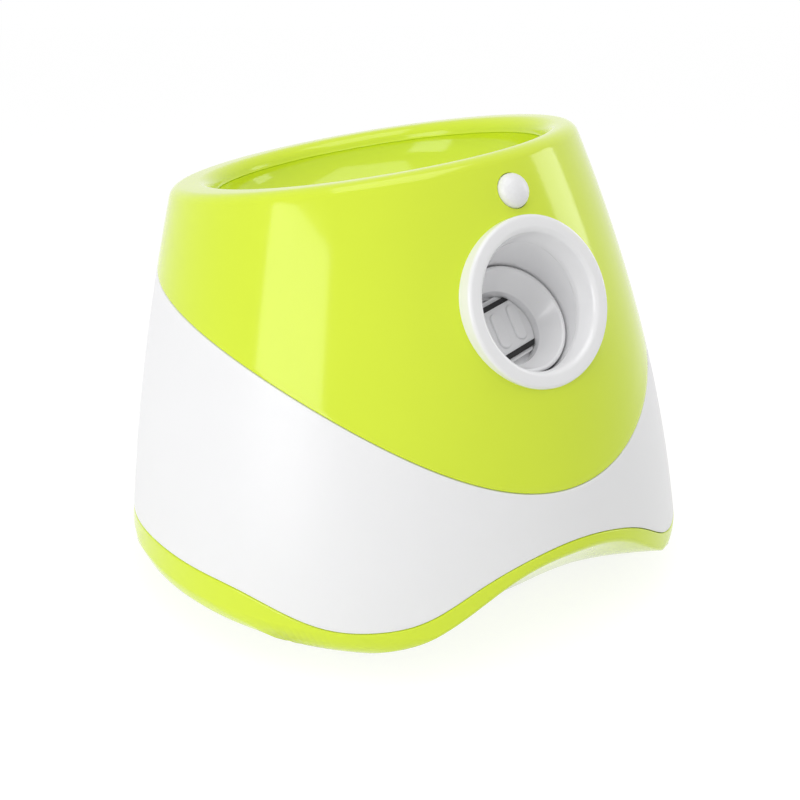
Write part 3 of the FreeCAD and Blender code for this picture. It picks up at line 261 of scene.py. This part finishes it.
SIDE = np.array((1.0, 0.0, 0.0))
RIM_UP = unit(np.array((-RIM_SLOPE[0], -RIM_SLOPE[1], 1.0)))
RIM_BACK = unit(np.cross(RIM_UP, SIDE))
RIM_SIDE = np.cross(RIM_BACK, RIM_UP)
FLOOR_UP = np.array((0.0, math.sin(FLOOR_TILT), math.cos(FLOOR_TILT)))
LAUNCH_UP = np.array((0.0, math.sin(LAUNCH_ANGLE), math.cos(LAUNCH_ANGLE)))
LAUNCH_IN = np.array((0.0, math.cos(LAUNCH_ANGLE), -math.sin(LAUNCH_ANGLE)))
PORT_OUT = np.array((0.0, -math.cos(PORT_TILT), math.sin(PORT_TILT)))
PORT_UP = np.array((0.0, math.sin(PORT_TILT), math.cos(PORT_TILT)))
DOME_OUT = np.array((0.0, -math.cos(DOME_TILT), math.sin(DOME_TILT)))
DOME_UP = np.array((0.0, math.sin(DOME_TILT), math.cos(DOME_TILT)))


def placed(origin, x_axis, y_axis, z_axis):
    """Matrix in metres from a piece's own axes in millimetres."""
    origin = np.asarray(origin, float) + (0, FRAME_SHIFT, 0)
    rows = [[x_axis[i] * MM, y_axis[i] * MM, z_axis[i] * MM, origin[i] * MM] for i in range(3)]
    return Matrix(rows + [[0, 0, 0, 1]])


def upright(x, y, z):
    return placed((x, y, z), (1, 0, 0), (0, 1, 0), (0, 0, 1))


CASE_PLACE = upright(0, 0, 0)
PORT_PLACE = placed(PORT_CENTRE, SIDE, PORT_UP, PORT_OUT)
LAUNCH_PLACE = placed(PORT_CENTRE, -SIDE, LAUNCH_UP, LAUNCH_IN)
DOME_PLACE = placed(DOME_CENTRE, SIDE, DOME_UP, DOME_OUT)
PANEL_PLACE = upright(0, 0, PANEL_HEIGHT)


# Modelling helpers

def begin():
    if bpy.context.object and bpy.context.object.mode != "OBJECT":
        bpy.ops.object.mode_set(mode="OBJECT")
    bpy.ops.object.select_all(action="DESELECT")


def added(name):
    obj = bpy.context.active_object
    obj.name = name
    obj.data.name = name
    return obj


def select_only(obj):
    begin()
    obj.select_set(True)
    bpy.context.view_layer.objects.active = obj


def edit(obj, *steps):
    """Runs edit mode steps on the whole mesh."""
    select_only(obj)
    bpy.ops.object.mode_set(mode="EDIT")
    for step in steps:
        bpy.ops.mesh.select_all(action="SELECT")
        step()
    bpy.ops.object.mode_set(mode="OBJECT")


def merge():
    bpy.ops.mesh.remove_doubles(threshold=1e-6)


def outwards():
    bpy.ops.mesh.normals_make_consistent(inside=False)


def put(obj, place):
    """Shapes are made in millimetres about their own axes and then put in place, in the mesh."""
    obj.data.transform(place @ obj.matrix_world)
    obj.matrix_world = Matrix.Identity(4)
    return obj


def draped(name, rows, place=CASE_PLACE):
    """A grid laid over rows of points that run round and close on themselves."""
    begin()
    points = np.array(rows)
    bpy.ops.mesh.primitive_grid_add(x_subdivisions=points.shape[1] - 1, y_subdivisions=len(rows) - 1)
    obj = added(name)
    obj.data.vertices.foreach_set("co", points.reshape(-1))
    obj.data.update()
    put(obj, place)
    edit(obj, merge, outwards)
    return obj


def turned(name, profile, place, steps=96):
    """A closed outline of (radius, height) corners spun about the piece's own Z axis."""
    begin()
    bpy.ops.mesh.primitive_circle_add(vertices=len(profile), fill_type="NOTHING")
    obj = added(name)
    for vertex, (radius, height) in zip(obj.data.vertices, profile):
        vertex.co = (radius, 0, height)
    edit(obj, lambda: bpy.ops.mesh.spin(steps=steps, angle=2 * math.pi, center=(0, 0, 0), axis=(0, 0, 1)),
         lambda: bpy.ops.mesh.remove_doubles(threshold=1e-4), outwards)
    return put(obj, place)


def drill(name, radius, low, high, place, steps):
    """A round cutter about the piece's own Z axis."""
    return turned(name, [(0.01, low), (radius, low), (radius, high), (0.01, high)], place, steps)


def arc(centre, radius, start, end, steps):
    """Corners of a round in an outline, in degrees."""
    turns = [math.radians(start + (end - start) * i / steps) for i in range(steps + 1)]
    return [(centre[0] + radius * math.cos(t), centre[1] + radius * math.sin(t)) for t in turns]


def block(name, low, high):
    """A box by its corners, in the casing's axes."""
    begin()
    bpy.ops.mesh.primitive_cube_add(size=1)
    obj = added(name)
    size = [b - a for a, b in zip(low, high)]
    middle = [(a + b) / 2 for a, b in zip(low, high)]
    obj.data.transform(Matrix.Translation(middle) @ Matrix.Diagonal(size + [1]))
    return put(obj, CASE_PLACE)


def stadium(name, width, height, low, high, place, steps=24):
    """A bar with round ends in XZ, between two planes along Y."""
    begin()
    half = (width - height) / 2
    bpy.ops.mesh.primitive_circle_add(vertices=2 * steps + 2, fill_type="NGON")
    obj = added(name)
    outline = []
    for i in range(steps + 1):
        t = -math.pi / 2 + math.pi * i / steps
        outline.append((half + height / 2 * math.cos(t), height / 2 * math.sin(t)))
    outline += [(-x, -z) for x, z in outline]
    for vertex, (x, z) in zip(obj.data.vertices, outline):
        vertex.co = (x, low, z)

    def pull():
        bpy.ops.mesh.extrude_region_move(TRANSFORM_OT_translate={"value": (0, high - low, 0)})
    edit(obj, pull, outwards)
    return put(obj, place)


def cut(obj, cutter, operation="DIFFERENCE"):
    """Cuts a shape away, or adds it, and removes the shape."""
    select_only(obj)
    modifier = obj.modifiers.new("Cut", "BOOLEAN")
    modifier.object = cutter
    modifier.operation = operation
    modifier.solver = "EXACT"
    bpy.ops.object.modifier_apply(modifier=modifier.name)
    bpy.data.objects.remove(cutter)


def finished(obj, material, body="casing", stands_for=(), angle=32):
    select_only(obj)
    bpy.ops.object.shade_smooth_by_angle(angle=math.radians(angle))
    obj.data.materials.clear()
    obj.data.materials.append(material)
    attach(obj, body)
    if stands_for:
        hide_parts(*stands_for)
    return obj


# Shading

def node(tree, kind, **inputs):
    made = tree.nodes.new(kind)
    for key, value in inputs.items():
        made.inputs[key.replace("_", " ")].default_value = value
    return made


def group_tree(name, inputs, outputs):
    tree = bpy.data.node_groups.new(name, "ShaderNodeTree")
    for label, value in inputs:
        socket = tree.interface.new_socket(label, in_out="INPUT", socket_type="NodeSocketFloat")
        socket.default_value = value
    for label in outputs:
        tree.interface.new_socket(label, in_out="OUTPUT", socket_type="NodeSocketFloat")
    return tree, tree.nodes.new("NodeGroupInput"), tree.nodes.new("NodeGroupOutput")


def moulded_grain():
    """Fine spark-eroded grain, soft flow marks and a dust mask, over the piece's own coordinates."""
    tree, given, result = group_tree("moulded grain", (("Grain Size", 900.0),), ("Height", "Flow", "Dust"))
    place = tree.nodes.new("ShaderNodeTexCoord")
    grain = node(tree, "ShaderNodeTexNoise", Detail=3.0, Roughness=0.6)
    flow = node(tree, "ShaderNodeTexNoise", Scale=9.0, Detail=2.0, Roughness=0.5, Distortion=0.6)
    dust = node(tree, "ShaderNodeTexNoise", Scale=140.0, Detail=6.0, Roughness=0.7)
    dust_range = node(tree, "ShaderNodeMapRange", From_Min=0.55, From_Max=0.8)
    link = tree.links.new
    for texture in (grain, flow, dust):
        link(place.outputs["Object"], texture.inputs["Vector"])
    link(given.outputs["Grain Size"], grain.inputs["Scale"])
    link(dust.outputs["Fac"], dust_range.inputs["Value"])
    link(grain.outputs["Fac"], result.inputs["Height"])
    link(flow.outputs["Fac"], result.inputs["Flow"])
    link(dust_range.outputs["Result"], result.inputs["Dust"])
    return tree


def drawn_lines():
    """Fine lines left on metal by turning or drawing, along one axis of the piece."""
    tree, given, result = group_tree("drawn lines", (("Along", 30.0), ("Across", 2500.0)),
                                     ("Height", "Mask"))
    place = tree.nodes.new("ShaderNodeTexCoord")
    stretch = tree.nodes.new("ShaderNodeMapping")
    scale = tree.nodes.new("ShaderNodeCombineXYZ")
    noise = node(tree, "ShaderNodeTexNoise", Scale=1.0, Detail=4.0, Roughness=0.65)
    smear = node(tree, "ShaderNodeTexNoise", Scale=60.0, Detail=2.0)
    link = tree.links.new
    link(place.outputs["Object"], stretch.inputs["Vector"])
    link(given.outputs["Along"], scale.inputs["X"])
    link(given.outputs["Across"], scale.inputs["Y"])
    link(given.outputs["Across"], scale.inputs["Z"])
    link(scale.outputs["Vector"], stretch.inputs["Scale"])
    link(stretch.outputs["Vector"], noise.inputs["Vector"])
    link(place.outputs["Object"], smear.inputs["Vector"])
    link(noise.outputs["Fac"], result.inputs["Height"])
    link(smear.outputs["Fac"], result.inputs["Mask"])
    return tree


def new_material(name):
    material = bpy.data.materials.new(name)
    material.use_nodes = True
    tree = material.node_tree
    return material, tree, tree.nodes["Principled BSDF"]


def place_group(tree, group, **inputs):
    made = tree.nodes.new("ShaderNodeGroup")
    made.node_tree = group
    for key, value in inputs.items():
        made.inputs[key.replace("_", " ")].default_value = value
    return made


def varied(tree, mask, low, high):
    """A number that follows a mask between two values."""
    spread = node(tree, "ShaderNodeMapRange", To_Min=low, To_Max=high)
    tree.links.new(mask, spread.inputs["Value"])
    return spread.outputs["Result"]


def tinted(tree, mask, first, second):
    """A colour that follows a mask between two colours."""
    ramp = tree.nodes.new("ShaderNodeValToRGB")
    ramp.color_ramp.elements[0].position = 0.3
    ramp.color_ramp.elements[1].position = 0.7
    ramp.color_ramp.elements[0].color = (*first, 1)
    ramp.color_ramp.elements[1].color = (*second, 1)
    tree.links.new(mask, ramp.inputs["Fac"])
    return ramp.outputs["Color"]


def bumped(tree, shader, height, distance):
    bump = node(tree, "ShaderNodeBump", Strength=1.0, Distance=distance)
    tree.links.new(height, bump.inputs["Height"])
    tree.links.new(bump.outputs["Normal"], shader.inputs["Normal"])


GRAIN = moulded_grain()
LINES = drawn_lines()


def plastic(name, colour, shade, roughness, grain_size, grain_depth, coat=0.0, shine=0.5):
    """Moulded plastic whose colour and gloss drift a little over the surface."""
    material, tree, shader = new_material(name)
    marks = place_group(tree, GRAIN, Grain_Size=grain_size)
    tree.links.new(tinted(tree, marks.outputs["Flow"], colour, shade), shader.inputs["Base Color"])
    tree.links.new(varied(tree, marks.outputs["Dust"], *roughness), shader.inputs["Roughness"])
    shader.inputs["Specular IOR Level"].default_value = shine
    shader.inputs["Coat Weight"].default_value = coat
    shader.inputs["Coat Roughness"].default_value = 0.05
    bumped(tree, shader, marks.outputs["Height"], grain_depth)
    return material


def metal(name, colour, shade, roughness, along, across):
    material, tree, shader = new_material(name)
    lines = place_group(tree, LINES, Along=along, Across=across)
    tree.links.new(tinted(tree, lines.outputs["Mask"], colour, shade), shader.inputs["Base Color"])
    tree.links.new(varied(tree, lines.outputs["Height"], *roughness), shader.inputs["Roughness"])
    shader.inputs["Metallic"].default_value = 1.0
    bumped(tree, shader, lines.outputs["Height"], 0.00002)
    return material


def circuit_board():
    """Green lacquer over copper tracks."""
    material, tree, shader = new_material("board lacquer")
    place = tree.nodes.new("ShaderNodeTexCoord")
    tracks = node(tree, "ShaderNodeTexBrick", Scale=60.0, Mortar_Size=0.03, Mortar_Smooth=0.1)
    tree.links.new(place.outputs["Object"], tracks.inputs["Vector"])
    tree.links.new(tinted(tree, tracks.outputs["Fac"], (0.01, 0.11, 0.035), (0.03, 0.2, 0.07)),
                   shader.inputs["Base Color"])
    marks = place_group(tree, GRAIN, Grain_Size=1500.0)
    tree.links.new(varied(tree, marks.outputs["Dust"], 0.28, 0.5), shader.inputs["Roughness"])
    bumped(tree, shader, tracks.outputs["Fac"], 0.00004)
    return material


lime = plastic("glossy lime", (0.69, 0.84, 0.032), (0.66, 0.81, 0.028),
               (0.12, 0.2), 500.0, 0.000006, coat=0.2, shine=0.36)
white_skirt = plastic("satin white", (0.86, 0.86, 0.87), (0.84, 0.84, 0.85),
                      (0.34, 0.46), 1800.0, 0.00003)
white_port = plastic("glossy white", (0.87, 0.87, 0.88), (0.85, 0.85, 0.86),
                     (0.16, 0.24), 500.0, 0.000006, coat=0.3)
lens_milk = plastic("milky lens", (0.86, 0.86, 0.87), (0.82, 0.82, 0.83),
                    (0.3, 0.4), 1200.0, 0.00001)
grey_inner = plastic("grey inner plastic", (0.2, 0.205, 0.215), (0.17, 0.175, 0.185),
                     (0.4, 0.55), 1500.0, 0.00004)
black_moulded = plastic("black plastic", (0.02, 0.02, 0.022), (0.03, 0.03, 0.032),
                        (0.3, 0.5), 1500.0, 0.00003)
rubber = plastic("black rubber", (0.012, 0.012, 0.013), (0.022, 0.022, 0.023),
                 (0.65, 0.85), 1300.0, 0.00008)
nylon = plastic("gear nylon", (0.78, 0.76, 0.68), (0.73, 0.71, 0.62), (0.35, 0.5), 1000.0, 0.00002)
cell_sleeve = plastic("cell sleeve", (0.03, 0.035, 0.06), (0.04, 0.045, 0.075),
                      (0.2, 0.32), 300.0, 0.00001, coat=0.2)
clear_pipe = plastic("light pipe", (0.72, 0.76, 0.76), (0.68, 0.72, 0.72),
                     (0.1, 0.18), 600.0, 0.000005, coat=0.3)
ground_steel = metal("ground steel", (0.6, 0.6, 0.61), (0.52, 0.52, 0.53), (0.22, 0.4), 30.0, 2500.0)
spring_wire = metal("spring wire", (0.45, 0.45, 0.46), (0.38, 0.38, 0.39), (0.25, 0.42), 400.0, 400.0)
zinc = metal("zinc plate", (0.62, 0.62, 0.6), (0.55, 0.56, 0.56), (0.3, 0.5), 500.0, 500.0)
board = circuit_board()

NODE_FINISH = {
    "lime_gloss": lime, "white_satin": white_skirt, "white_gloss": white_port, "lens_white": lens_milk,
    "black_rubber": rubber, "grey_plastic": grey_inner, "gear_nylon": nylon, "steel": ground_steel,
    "spring_steel": spring_wire, "zinc_screw": zinc, "board_green": board, "cell_jacket": cell_sleeve,
    "clear_pipe": clear_pipe, "black_plastic": black_moulded,
}


def finish_cad_nodes():
    """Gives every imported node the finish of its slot."""
    for row in frame["record"]["subparts"]:
        mesh = frame["nodes"][row["node"]].data
        mesh.materials.clear()
        mesh.materials.append(NODE_FINISH[row["material_slot"]])


# Casing pieces

def rim_height(points):
    return (points - RIM_CENTRE) @ RIM_UP


def top_shell():
    """Lime casing: the wall above the seam, the round rim and the mouth wall, hollow inside."""
    seam = height_on_skin(5, 170, lambda p: split_height(p[..., 1])) + HAIR
    rim = meet(60, 210, lambda h: rim_height(on_skin(TURN, h)), COLUMNS + 1)
    edge = on_skin(TURN, rim)
    around = np.gradient(edge[:-1], axis=0)
    around[0] = edge[1] - edge[-2]
    around[-1] = edge[0] - edge[-3]
    around = unit(np.concatenate((around, around[:1])))
    inward = np.cross(RIM_UP, around)
    inward *= -np.sign(np.sum(inward * (edge - RIM_CENTRE), axis=-1, keepdims=True))
    down = on_skin(TURN, rim - 1) - edge
    down = unit(down - np.sum(down * around, axis=-1, keepdims=True) * around)
    corner = np.arccos(np.sum(down * inward, axis=-1))
    reach = (OUTER_FILLET / np.tan(corner / 2))[:, None]
    start = edge + down * reach
    start_height = start[:, 2] - EDGE_HEIGHT
    start_turn = np.unwrap(np.arctan2(start[:, 0], lean(start[:, 2]) - start[:, 1]))
    start_turn += TURN[0] - start_turn[0]
    inner_start = np.minimum(start_height - 8, rim - 16)

    rows = [on_skin(TURN, seam, CASE_WALL), on_skin(TURN, seam, SEAM_ROUND)]
    rows += rounded(rows[-1], on_skin(TURN, seam), on_skin(TURN, seam + SEAM_ROUND), 0.7, 3)
    for share in np.linspace(0, 1, 44)[1:]:
        height = seam + SEAM_ROUND + share * (start_height - seam - SEAM_ROUND)
        rows.append(on_skin(TURN + share * (start_turn - TURN), height))
    rows += rounded(start, edge, edge + inward * reach, np.sin(corner / 2)[:, None], 10)
    out = edge - RIM_CENTRE
    out = unit(out - (out @ RIM_UP)[:, None] * RIM_UP)
    lip = RIM_CENTRE + out * (MOUTH_RADIUS + INNER_FILLET)
    rows.append(lip)
    rows += rounded(lip, RIM_CENTRE + out * MOUTH_RADIUS,
                    RIM_CENTRE + out * (MOUTH_RADIUS - 0.4) - INNER_FILLET * RIM_UP, 0.7, 9)
    rows.append(RIM_CENTRE + out * (MOUTH_RADIUS - 0.75) - (RIM_DEPTH - 0.5) * RIM_UP)
    rows.append(RIM_CENTRE + out * (MOUTH_RADIUS - 0.35) - RIM_DEPTH * RIM_UP)
    rows.append(RIM_CENTRE + out * (MOUTH_RADIUS + 2.5) - RIM_DEPTH * RIM_UP)
    for share in np.linspace(0, 1, 8):
        rows.append(on_skin(TURN, inner_start + share * (seam - inner_start), CASE_WALL))
    rows[-1] = rows[0]
    shell = draped("top_shell_form", rows)
    cut(shell, drill("port hole", PORT_HOLE, -40, 40, PORT_PLACE, 128))
    cut(shell, drill("lens hole", DOME_HOLE, -12, 20, DOME_PLACE, 96))
    return finished(shell, lime, stands_for=("top_shell",))


AROUND = np.linspace(0, 2 * math.pi, 193)[:, None]


def bowl_ring(turn, extra):
    """A circle of the funnel about the rim's axis; the turn goes from the mouth to the floor."""
    depth = RIM_DEPTH + (BOWL_DEPTH - RIM_DEPTH) * math.sin(turn) + extra * math.sin(turn)
    radius = BOWL_FLOOR_RADIUS + (MOUTH_RADIUS - 0.8 - BOWL_FLOOR_RADIUS) * math.cos(turn) + extra
    middle = RIM_CENTRE - depth * RIM_UP - BOWL_SHIFT * (1 - math.cos(turn)) * RIM_BACK
    return middle + radius * (np.cos(AROUND) * RIM_SIDE + np.sin(AROUND) * RIM_BACK)


def hole_ring(depth, extra):
    """The ball hole, where the slanting chute passes a plane under the mouth."""
    around = np.cos(AROUND) * SIDE + np.sin(AROUND) * LAUNCH_IN
    wall = PORT_CENTRE + CHAMBER_PLACE * LAUNCH_IN + (CHUTE_RADIUS + extra) * around
    reach = (-depth - (wall - FLOOR_CENTRE) @ FLOOR_UP) / float(LAUNCH_UP @ FLOOR_UP)
    return wall + reach[:, None] * LAUNCH_UP


def hopper_bowl():
    """Funnel from the mouth down to the ball hole, with a thin wall."""
    rows = [bowl_ring(math.radians(t), 0.0) for t in np.linspace(0, 72, 25)]
    last, hole = rows[-1], hole_ring(FLOOR_DEPTH, 1.2)
    for share in np.linspace(0, 1, 9)[1:]:
        row = last + (hole - last) * share
        row[:, 2] = last[:, 2] + (hole[:, 2] - last[:, 2]) * math.sin(share * math.pi / 2)
        rows.append(row)
    rows += rounded(hole, hole_ring(FLOOR_DEPTH, 0.05), hole_ring(FLOOR_DEPTH + 1.2, 0.05), 0.7, 4)
    rows += [hole_ring(FLOOR_DEPTH + BOWL_WALL, 0.05), hole_ring(FLOOR_DEPTH + BOWL_WALL, 2.0)]
    rows += [bowl_ring(math.radians(t), BOWL_WALL) for t in np.linspace(80, 0, 14)]
    rows.append(rows[0])
    bowl = draped("hopper_funnel", rows)
    return finished(bowl, lime, stands_for=("hopper_bowl",))


def lower_housing():
    """White skirt between the swooping seam and the wavy band."""
    top = height_on_skin(5, 170, lambda p: split_height(p[..., 1])) - HAIR
    low = height_on_skin(-0.99, 120, lambda p: band_height(round_angle(p))) + HAIR
    rows = [on_skin(TURN, low, CASE_WALL), on_skin(TURN, low, SEAM_ROUND)]
    rows += rounded(rows[-1], on_skin(TURN, low), on_skin(TURN, low + SEAM_ROUND), 0.7, 3)
    for share in np.linspace(0, 1, 44)[1:]:
        rows.append(on_skin(TURN, low + SEAM_ROUND + share * (top - low - 2 * SEAM_ROUND)))
    rows += rounded(rows[-1], on_skin(TURN, top), on_skin(TURN, top, SEAM_ROUND), 0.7, 3)
    for share in np.linspace(0, 1, 6):
        rows.append(on_skin(TURN, top + share * (low - top), CASE_WALL))
    rows[-1] = rows[0]
    skirt = draped("skirt", rows)
    cut(skirt, stadium("panel opening", PANEL_WIDTH, PANEL_DROP, PANEL_PLANE - 10, PANEL_PLANE + 40,
                       PANEL_PLACE))
    return finished(skirt, white_skirt, stands_for=("lower_housing",))


def base_tray():
    """Lime base: wavy band, rounded lower edge, and the arched underside between the feet."""
    top = height_on_skin(-0.99, 120, lambda p: band_height(round_angle(p))) - HAIR
    low = meet(-0.999, top - 0.01, lambda h: on_skin(TURN, h)[..., 2] - arch_at(on_skin(TURN, h)),
               COLUMNS + 1)
    edge = on_skin(TURN, low)
    above = on_skin(TURN, low + (top - low) * 0.1)
    up_reach = 1.6 / np.linalg.norm(above - edge, axis=-1)
    start_height = low + (top - low) * 0.1 * np.minimum(up_reach, 4)

    radius = np.hypot(edge[:, 0], edge[:, 1])

    def underside(inward, lift=0.0):
        near = edge * ((radius - inward) / radius)[:, None]
        near[:, 2] = arch_at(near, lift)
        return near
    rows = [on_skin(TURN, top, CASE_WALL - 0.4), on_skin(TURN, top, SEAM_ROUND)]
    rows += rounded(rows[-1], on_skin(TURN, top), on_skin(TURN, top - SEAM_ROUND), 0.7, 3)
    for share in np.linspace(0, 1, 24)[1:]:
        rows.append(on_skin(TURN, top - SEAM_ROUND + share * (start_height - top + SEAM_ROUND)))
    rows += rounded(rows[-1], edge, underside(1.6), 0.7, 5)
    for share in np.linspace(0, 1, 12)[1:]:
        rows.append(underside(1.6 + share * (radius - ARCH_INNER - 1.6)))
    floor = rows[-1]
    for size in (0.75, 0.5, 0.25, 0.004):
        rows.append(floor * np.array((size, size, 1.0)))
    inner = floor * np.array((0.004, 0.004, 1.0)) + np.array((0, 0, 2.6))
    rows.append(inner)
    for share in np.linspace(0, 1, 12)[1:]:
        inward = 4 + (radius - 4.4) * (1 - share)
        rows.append(underside(inward, 2.6))
    rows.append(rows[0])
    tray = draped("base_form", rows)
    cut(tray, block("bay walls", (-BAY_HALF - BAY_WALL, BAY_FRONT - BAY_WALL, FOOT_STANDOFF),
                    (BAY_HALF + BAY_WALL, BAY_BACK + BAY_WALL, BAY_TOP + BAY_WALL)), "UNION")
    cut(tray, block("bay room", (-BAY_HALF, BAY_FRONT, -1), (BAY_HALF, BAY_BACK, BAY_TOP)))
    cut(tray, block("door rebate", (-BAY_HALF - DOOR_LAP, BAY_FRONT - DOOR_GAP, -6),
                    (BAY_HALF + DOOR_LAP, BAY_BACK + DOOR_GAP, FOOT_STANDOFF + DOOR_GAP)))
    for turn in SCREW_TURNS:
        x = -SCREW_RING * math.sin(math.radians(turn))
        y = -SCREW_RING * math.cos(math.radians(turn))
        cut(tray, drill("screw well", WELL_RADIUS, -5, WELL_TOP, upright(x, y, 0), 32))
    return finished(tray, lime, stands_for=("base_tray",))


# Port and ram

def port_ring():
    """Muzzle ring: round outer edge, flat face and a mouth that sweeps into the launch tube."""
    around = AROUND[:, 0]

    def ring(radius, height):
        return np.stack((radius * np.cos(around), radius * np.sin(around),
                         np.full(len(around), float(height))), axis=-1)

    def bore(along):
        slope = float(LAUNCH_IN @ -PORT_OUT)
        lift = float(LAUNCH_IN @ PORT_UP)
        points = np.stack((BORE_RADIUS * np.cos(around), BORE_RADIUS * np.sin(around) / slope,
                           np.full(len(around), -along)), axis=-1)
        points[:, 1] += along / slope * lift
        return points
    edge = PORT_FACE - PORT_EDGE
    rows = [ring(SLEEVE_RADIUS, -PORT_BACK), ring(SLEEVE_RADIUS, -1.0), ring(PORT_RADIUS, -2.6),
            ring(PORT_RADIUS, edge)]
    rows += [ring(r, h) for r, h in arc((PORT_RADIUS - PORT_EDGE, edge), PORT_EDGE, 0, 90, 10)[1:]]
    rows += [ring(31.4, 5.45)]
    rows += rounded(rows[-1], ring(29.4, 5.4), ring(LIP_RADIUS, 3.2), 0.75, 10)
    rows += rounded(rows[-1], ring(28.3, 0.2), bore(3.0), 1.0, 8)
    rows += [bore(PORT_BACK), rows[0]]
    ring_piece = draped("muzzle_ring", rows, PORT_PLACE)
    return finished(ring_piece, white_port, stands_for=("port_ring",), angle=40)


def sensor_dome():
    """Milky lens cap made of many small facets."""
    begin()
    bpy.ops.mesh.primitive_ico_sphere_add(subdivisions=3, radius=1)
    dome = added("lens_dome")

    def halve():
        bpy.ops.mesh.bisect(plane_co=(0, 0, 0.02), plane_no=(0, 0, 1), clear_inner=True, use_fill=False)

    def pull():
        bpy.ops.mesh.select_all(action="DESELECT")
        bpy.ops.mesh.select_non_manifold()
        bpy.ops.mesh.extrude_region_move(TRANSFORM_OT_translate={"value": (0, 0, -0.45)})
        bpy.ops.mesh.extrude_region_move()
        bpy.ops.transform.resize(value=(1.2, 1.2, 1))
        bpy.ops.mesh.extrude_region_move(TRANSFORM_OT_translate={"value": (0, 0, -0.15)})
        bpy.ops.mesh.edge_face_add()
    edit(dome, halve, pull, outwards)
    for vertex in dome.data.vertices:
        low = min(vertex.co.z, 0.0)
        height = (vertex.co.z - low) * DOME_RISE + low * 10 + 0.2
        vertex.co = (vertex.co.x * DOME_RADIUS, vertex.co.y * DOME_RADIUS, height)
    put(dome, DOME_PLACE)
    return finished(dome, lens_milk, stands_for=("sensor_dome",), angle=4)


def ram_cup():
    """White cup that the ball rests in, with its round hole."""
    profile = [(CUP_HOLE, RAM_FRONT + CUP_LENGTH - 0.05), (CUP_HOLE, RAM_FRONT + 10.3)]
    profile += arc((CUP_HOLE + 0.8, RAM_FRONT + 10.1), 0.8, 170, 245, 5)
    profile += arc((RAM_RADIUS - 1.25, RAM_FRONT + 1.25), 1.25, 215, 360, 10)
    profile += [(RAM_RADIUS, RAM_FRONT + CUP_LENGTH - 0.05)]
    cup = turned("cup_form", profile, LAUNCH_PLACE, 160)
    return finished(cup, white_port, body="ram", stands_for=("ram_cup",))


# Scene

def aim_area(name, place, target, size, power):
    light = bpy.data.lights.new(name, "AREA")
    light.shape = "RECTANGLE"
    light.size, light.size_y = size
    light.energy = power
    obj = bpy.data.objects.new(name, light)
    bpy.context.scene.collection.objects.link(obj)
    obj.location = place
    obj.rotation_euler = (Vector(target) - Vector(place)).to_track_quat("-Z", "Y").to_euler()
    return obj


def studio():
    """Pale floor, white surroundings and soft lamps."""
    begin()
    bpy.ops.mesh.primitive_plane_add(size=60, location=(0, 0, 0))
    floor = added("studio_floor")
    material, tree, shader = new_material("studio white")
    shader.inputs["Base Color"].default_value = (0.93, 0.93, 0.93, 1)
    shader.inputs["Roughness"].default_value = 0.9
    shader.inputs["Specular IOR Level"].default_value = 0.1
    shine = node(tree, "ShaderNodeEmission", Strength=1.15)
    blend = tree.nodes.new("ShaderNodeMixShader")
    path = tree.nodes.new("ShaderNodeLightPath")
    share = node(tree, "ShaderNodeMapRange", To_Min=0.0, To_Max=0.75)
    seen = tree.nodes.new("ShaderNodeMath")
    seen.operation = "MAXIMUM"
    tree.links.new(path.outputs["Is Camera Ray"], seen.inputs[0])
    tree.links.new(path.outputs["Is Glossy Ray"], seen.inputs[1])
    tree.links.new(seen.outputs["Value"], share.inputs["Value"])
    tree.links.new(share.outputs["Result"], blend.inputs["Fac"])
    tree.links.new(shader.outputs["BSDF"], blend.inputs[1])
    tree.links.new(shine.outputs["Emission"], blend.inputs[2])
    tree.links.new(blend.outputs["Shader"], tree.nodes["Material Output"].inputs["Surface"])
    floor.data.materials.append(material)
    world = bpy.data.worlds.new("studio air")
    bpy.context.scene.world = world
    world.use_nodes = True
    tree = world.node_tree
    background = tree.nodes["Background"]
    background.inputs["Color"].default_value = (1, 1, 1, 1)
    path = tree.nodes.new("ShaderNodeLightPath")
    seen = node(tree, "ShaderNodeMath")
    seen.operation = "MAXIMUM"
    also = node(tree, "ShaderNodeMath")
    also.operation = "MAXIMUM"
    strength = node(tree, "ShaderNodeMapRange", To_Min=0.56, To_Max=1.0)
    link = tree.links.new
    link(path.outputs["Is Camera Ray"], seen.inputs[0])
    link(path.outputs["Is Glossy Ray"], seen.inputs[1])
    link(seen.outputs["Value"], also.inputs[0])
    link(path.outputs["Is Transmission Ray"], also.inputs[1])
    link(also.outputs["Value"], strength.inputs["Value"])
    link(strength.outputs["Result"], background.inputs["Strength"])
    middle = (0, 0, 0.11)
    aim_area("left softbox", (-1.1, -0.25, 0.35), middle, (0.6, 0.9), 4.5)
    aim_area("top softbox", (-0.15, -0.2, 1.3), middle, (0.9, 0.9), 4.6)
    aim_area("right softbox", (0.95, -0.3, 0.46), middle, (0.3, 0.5), 1.1)


def camera():
    """Camera at the angle that the object is shown from."""
    back = Vector((math.sin(CAMERA_TURN) * math.cos(CAMERA_RISE),
                   -math.cos(CAMERA_TURN) * math.cos(CAMERA_RISE), math.sin(CAMERA_RISE)))
    data = bpy.data.cameras.new("photo view")
    data.sensor_width = 36
    data.lens = CAMERA_LENS
    eye = bpy.data.objects.new("photo view", data)
    bpy.context.scene.collection.objects.link(eye)
    eye.location = CAMERA_PLACE
    eye.rotation_mode = "QUATERNION"
    eye.rotation_quaternion = (-back).to_track_quat("-Z", "Y")
    bpy.context.scene.camera = eye


bpy.context.scene.view_settings.view_transform = "Standard"
camera()
finish_cad_nodes()
top_shell()
hopper_bowl()
lower_housing()
base_tray()
port_ring()
sensor_dome()
ram_cup()
studio()

begin()
bpy.context.view_layer.update()
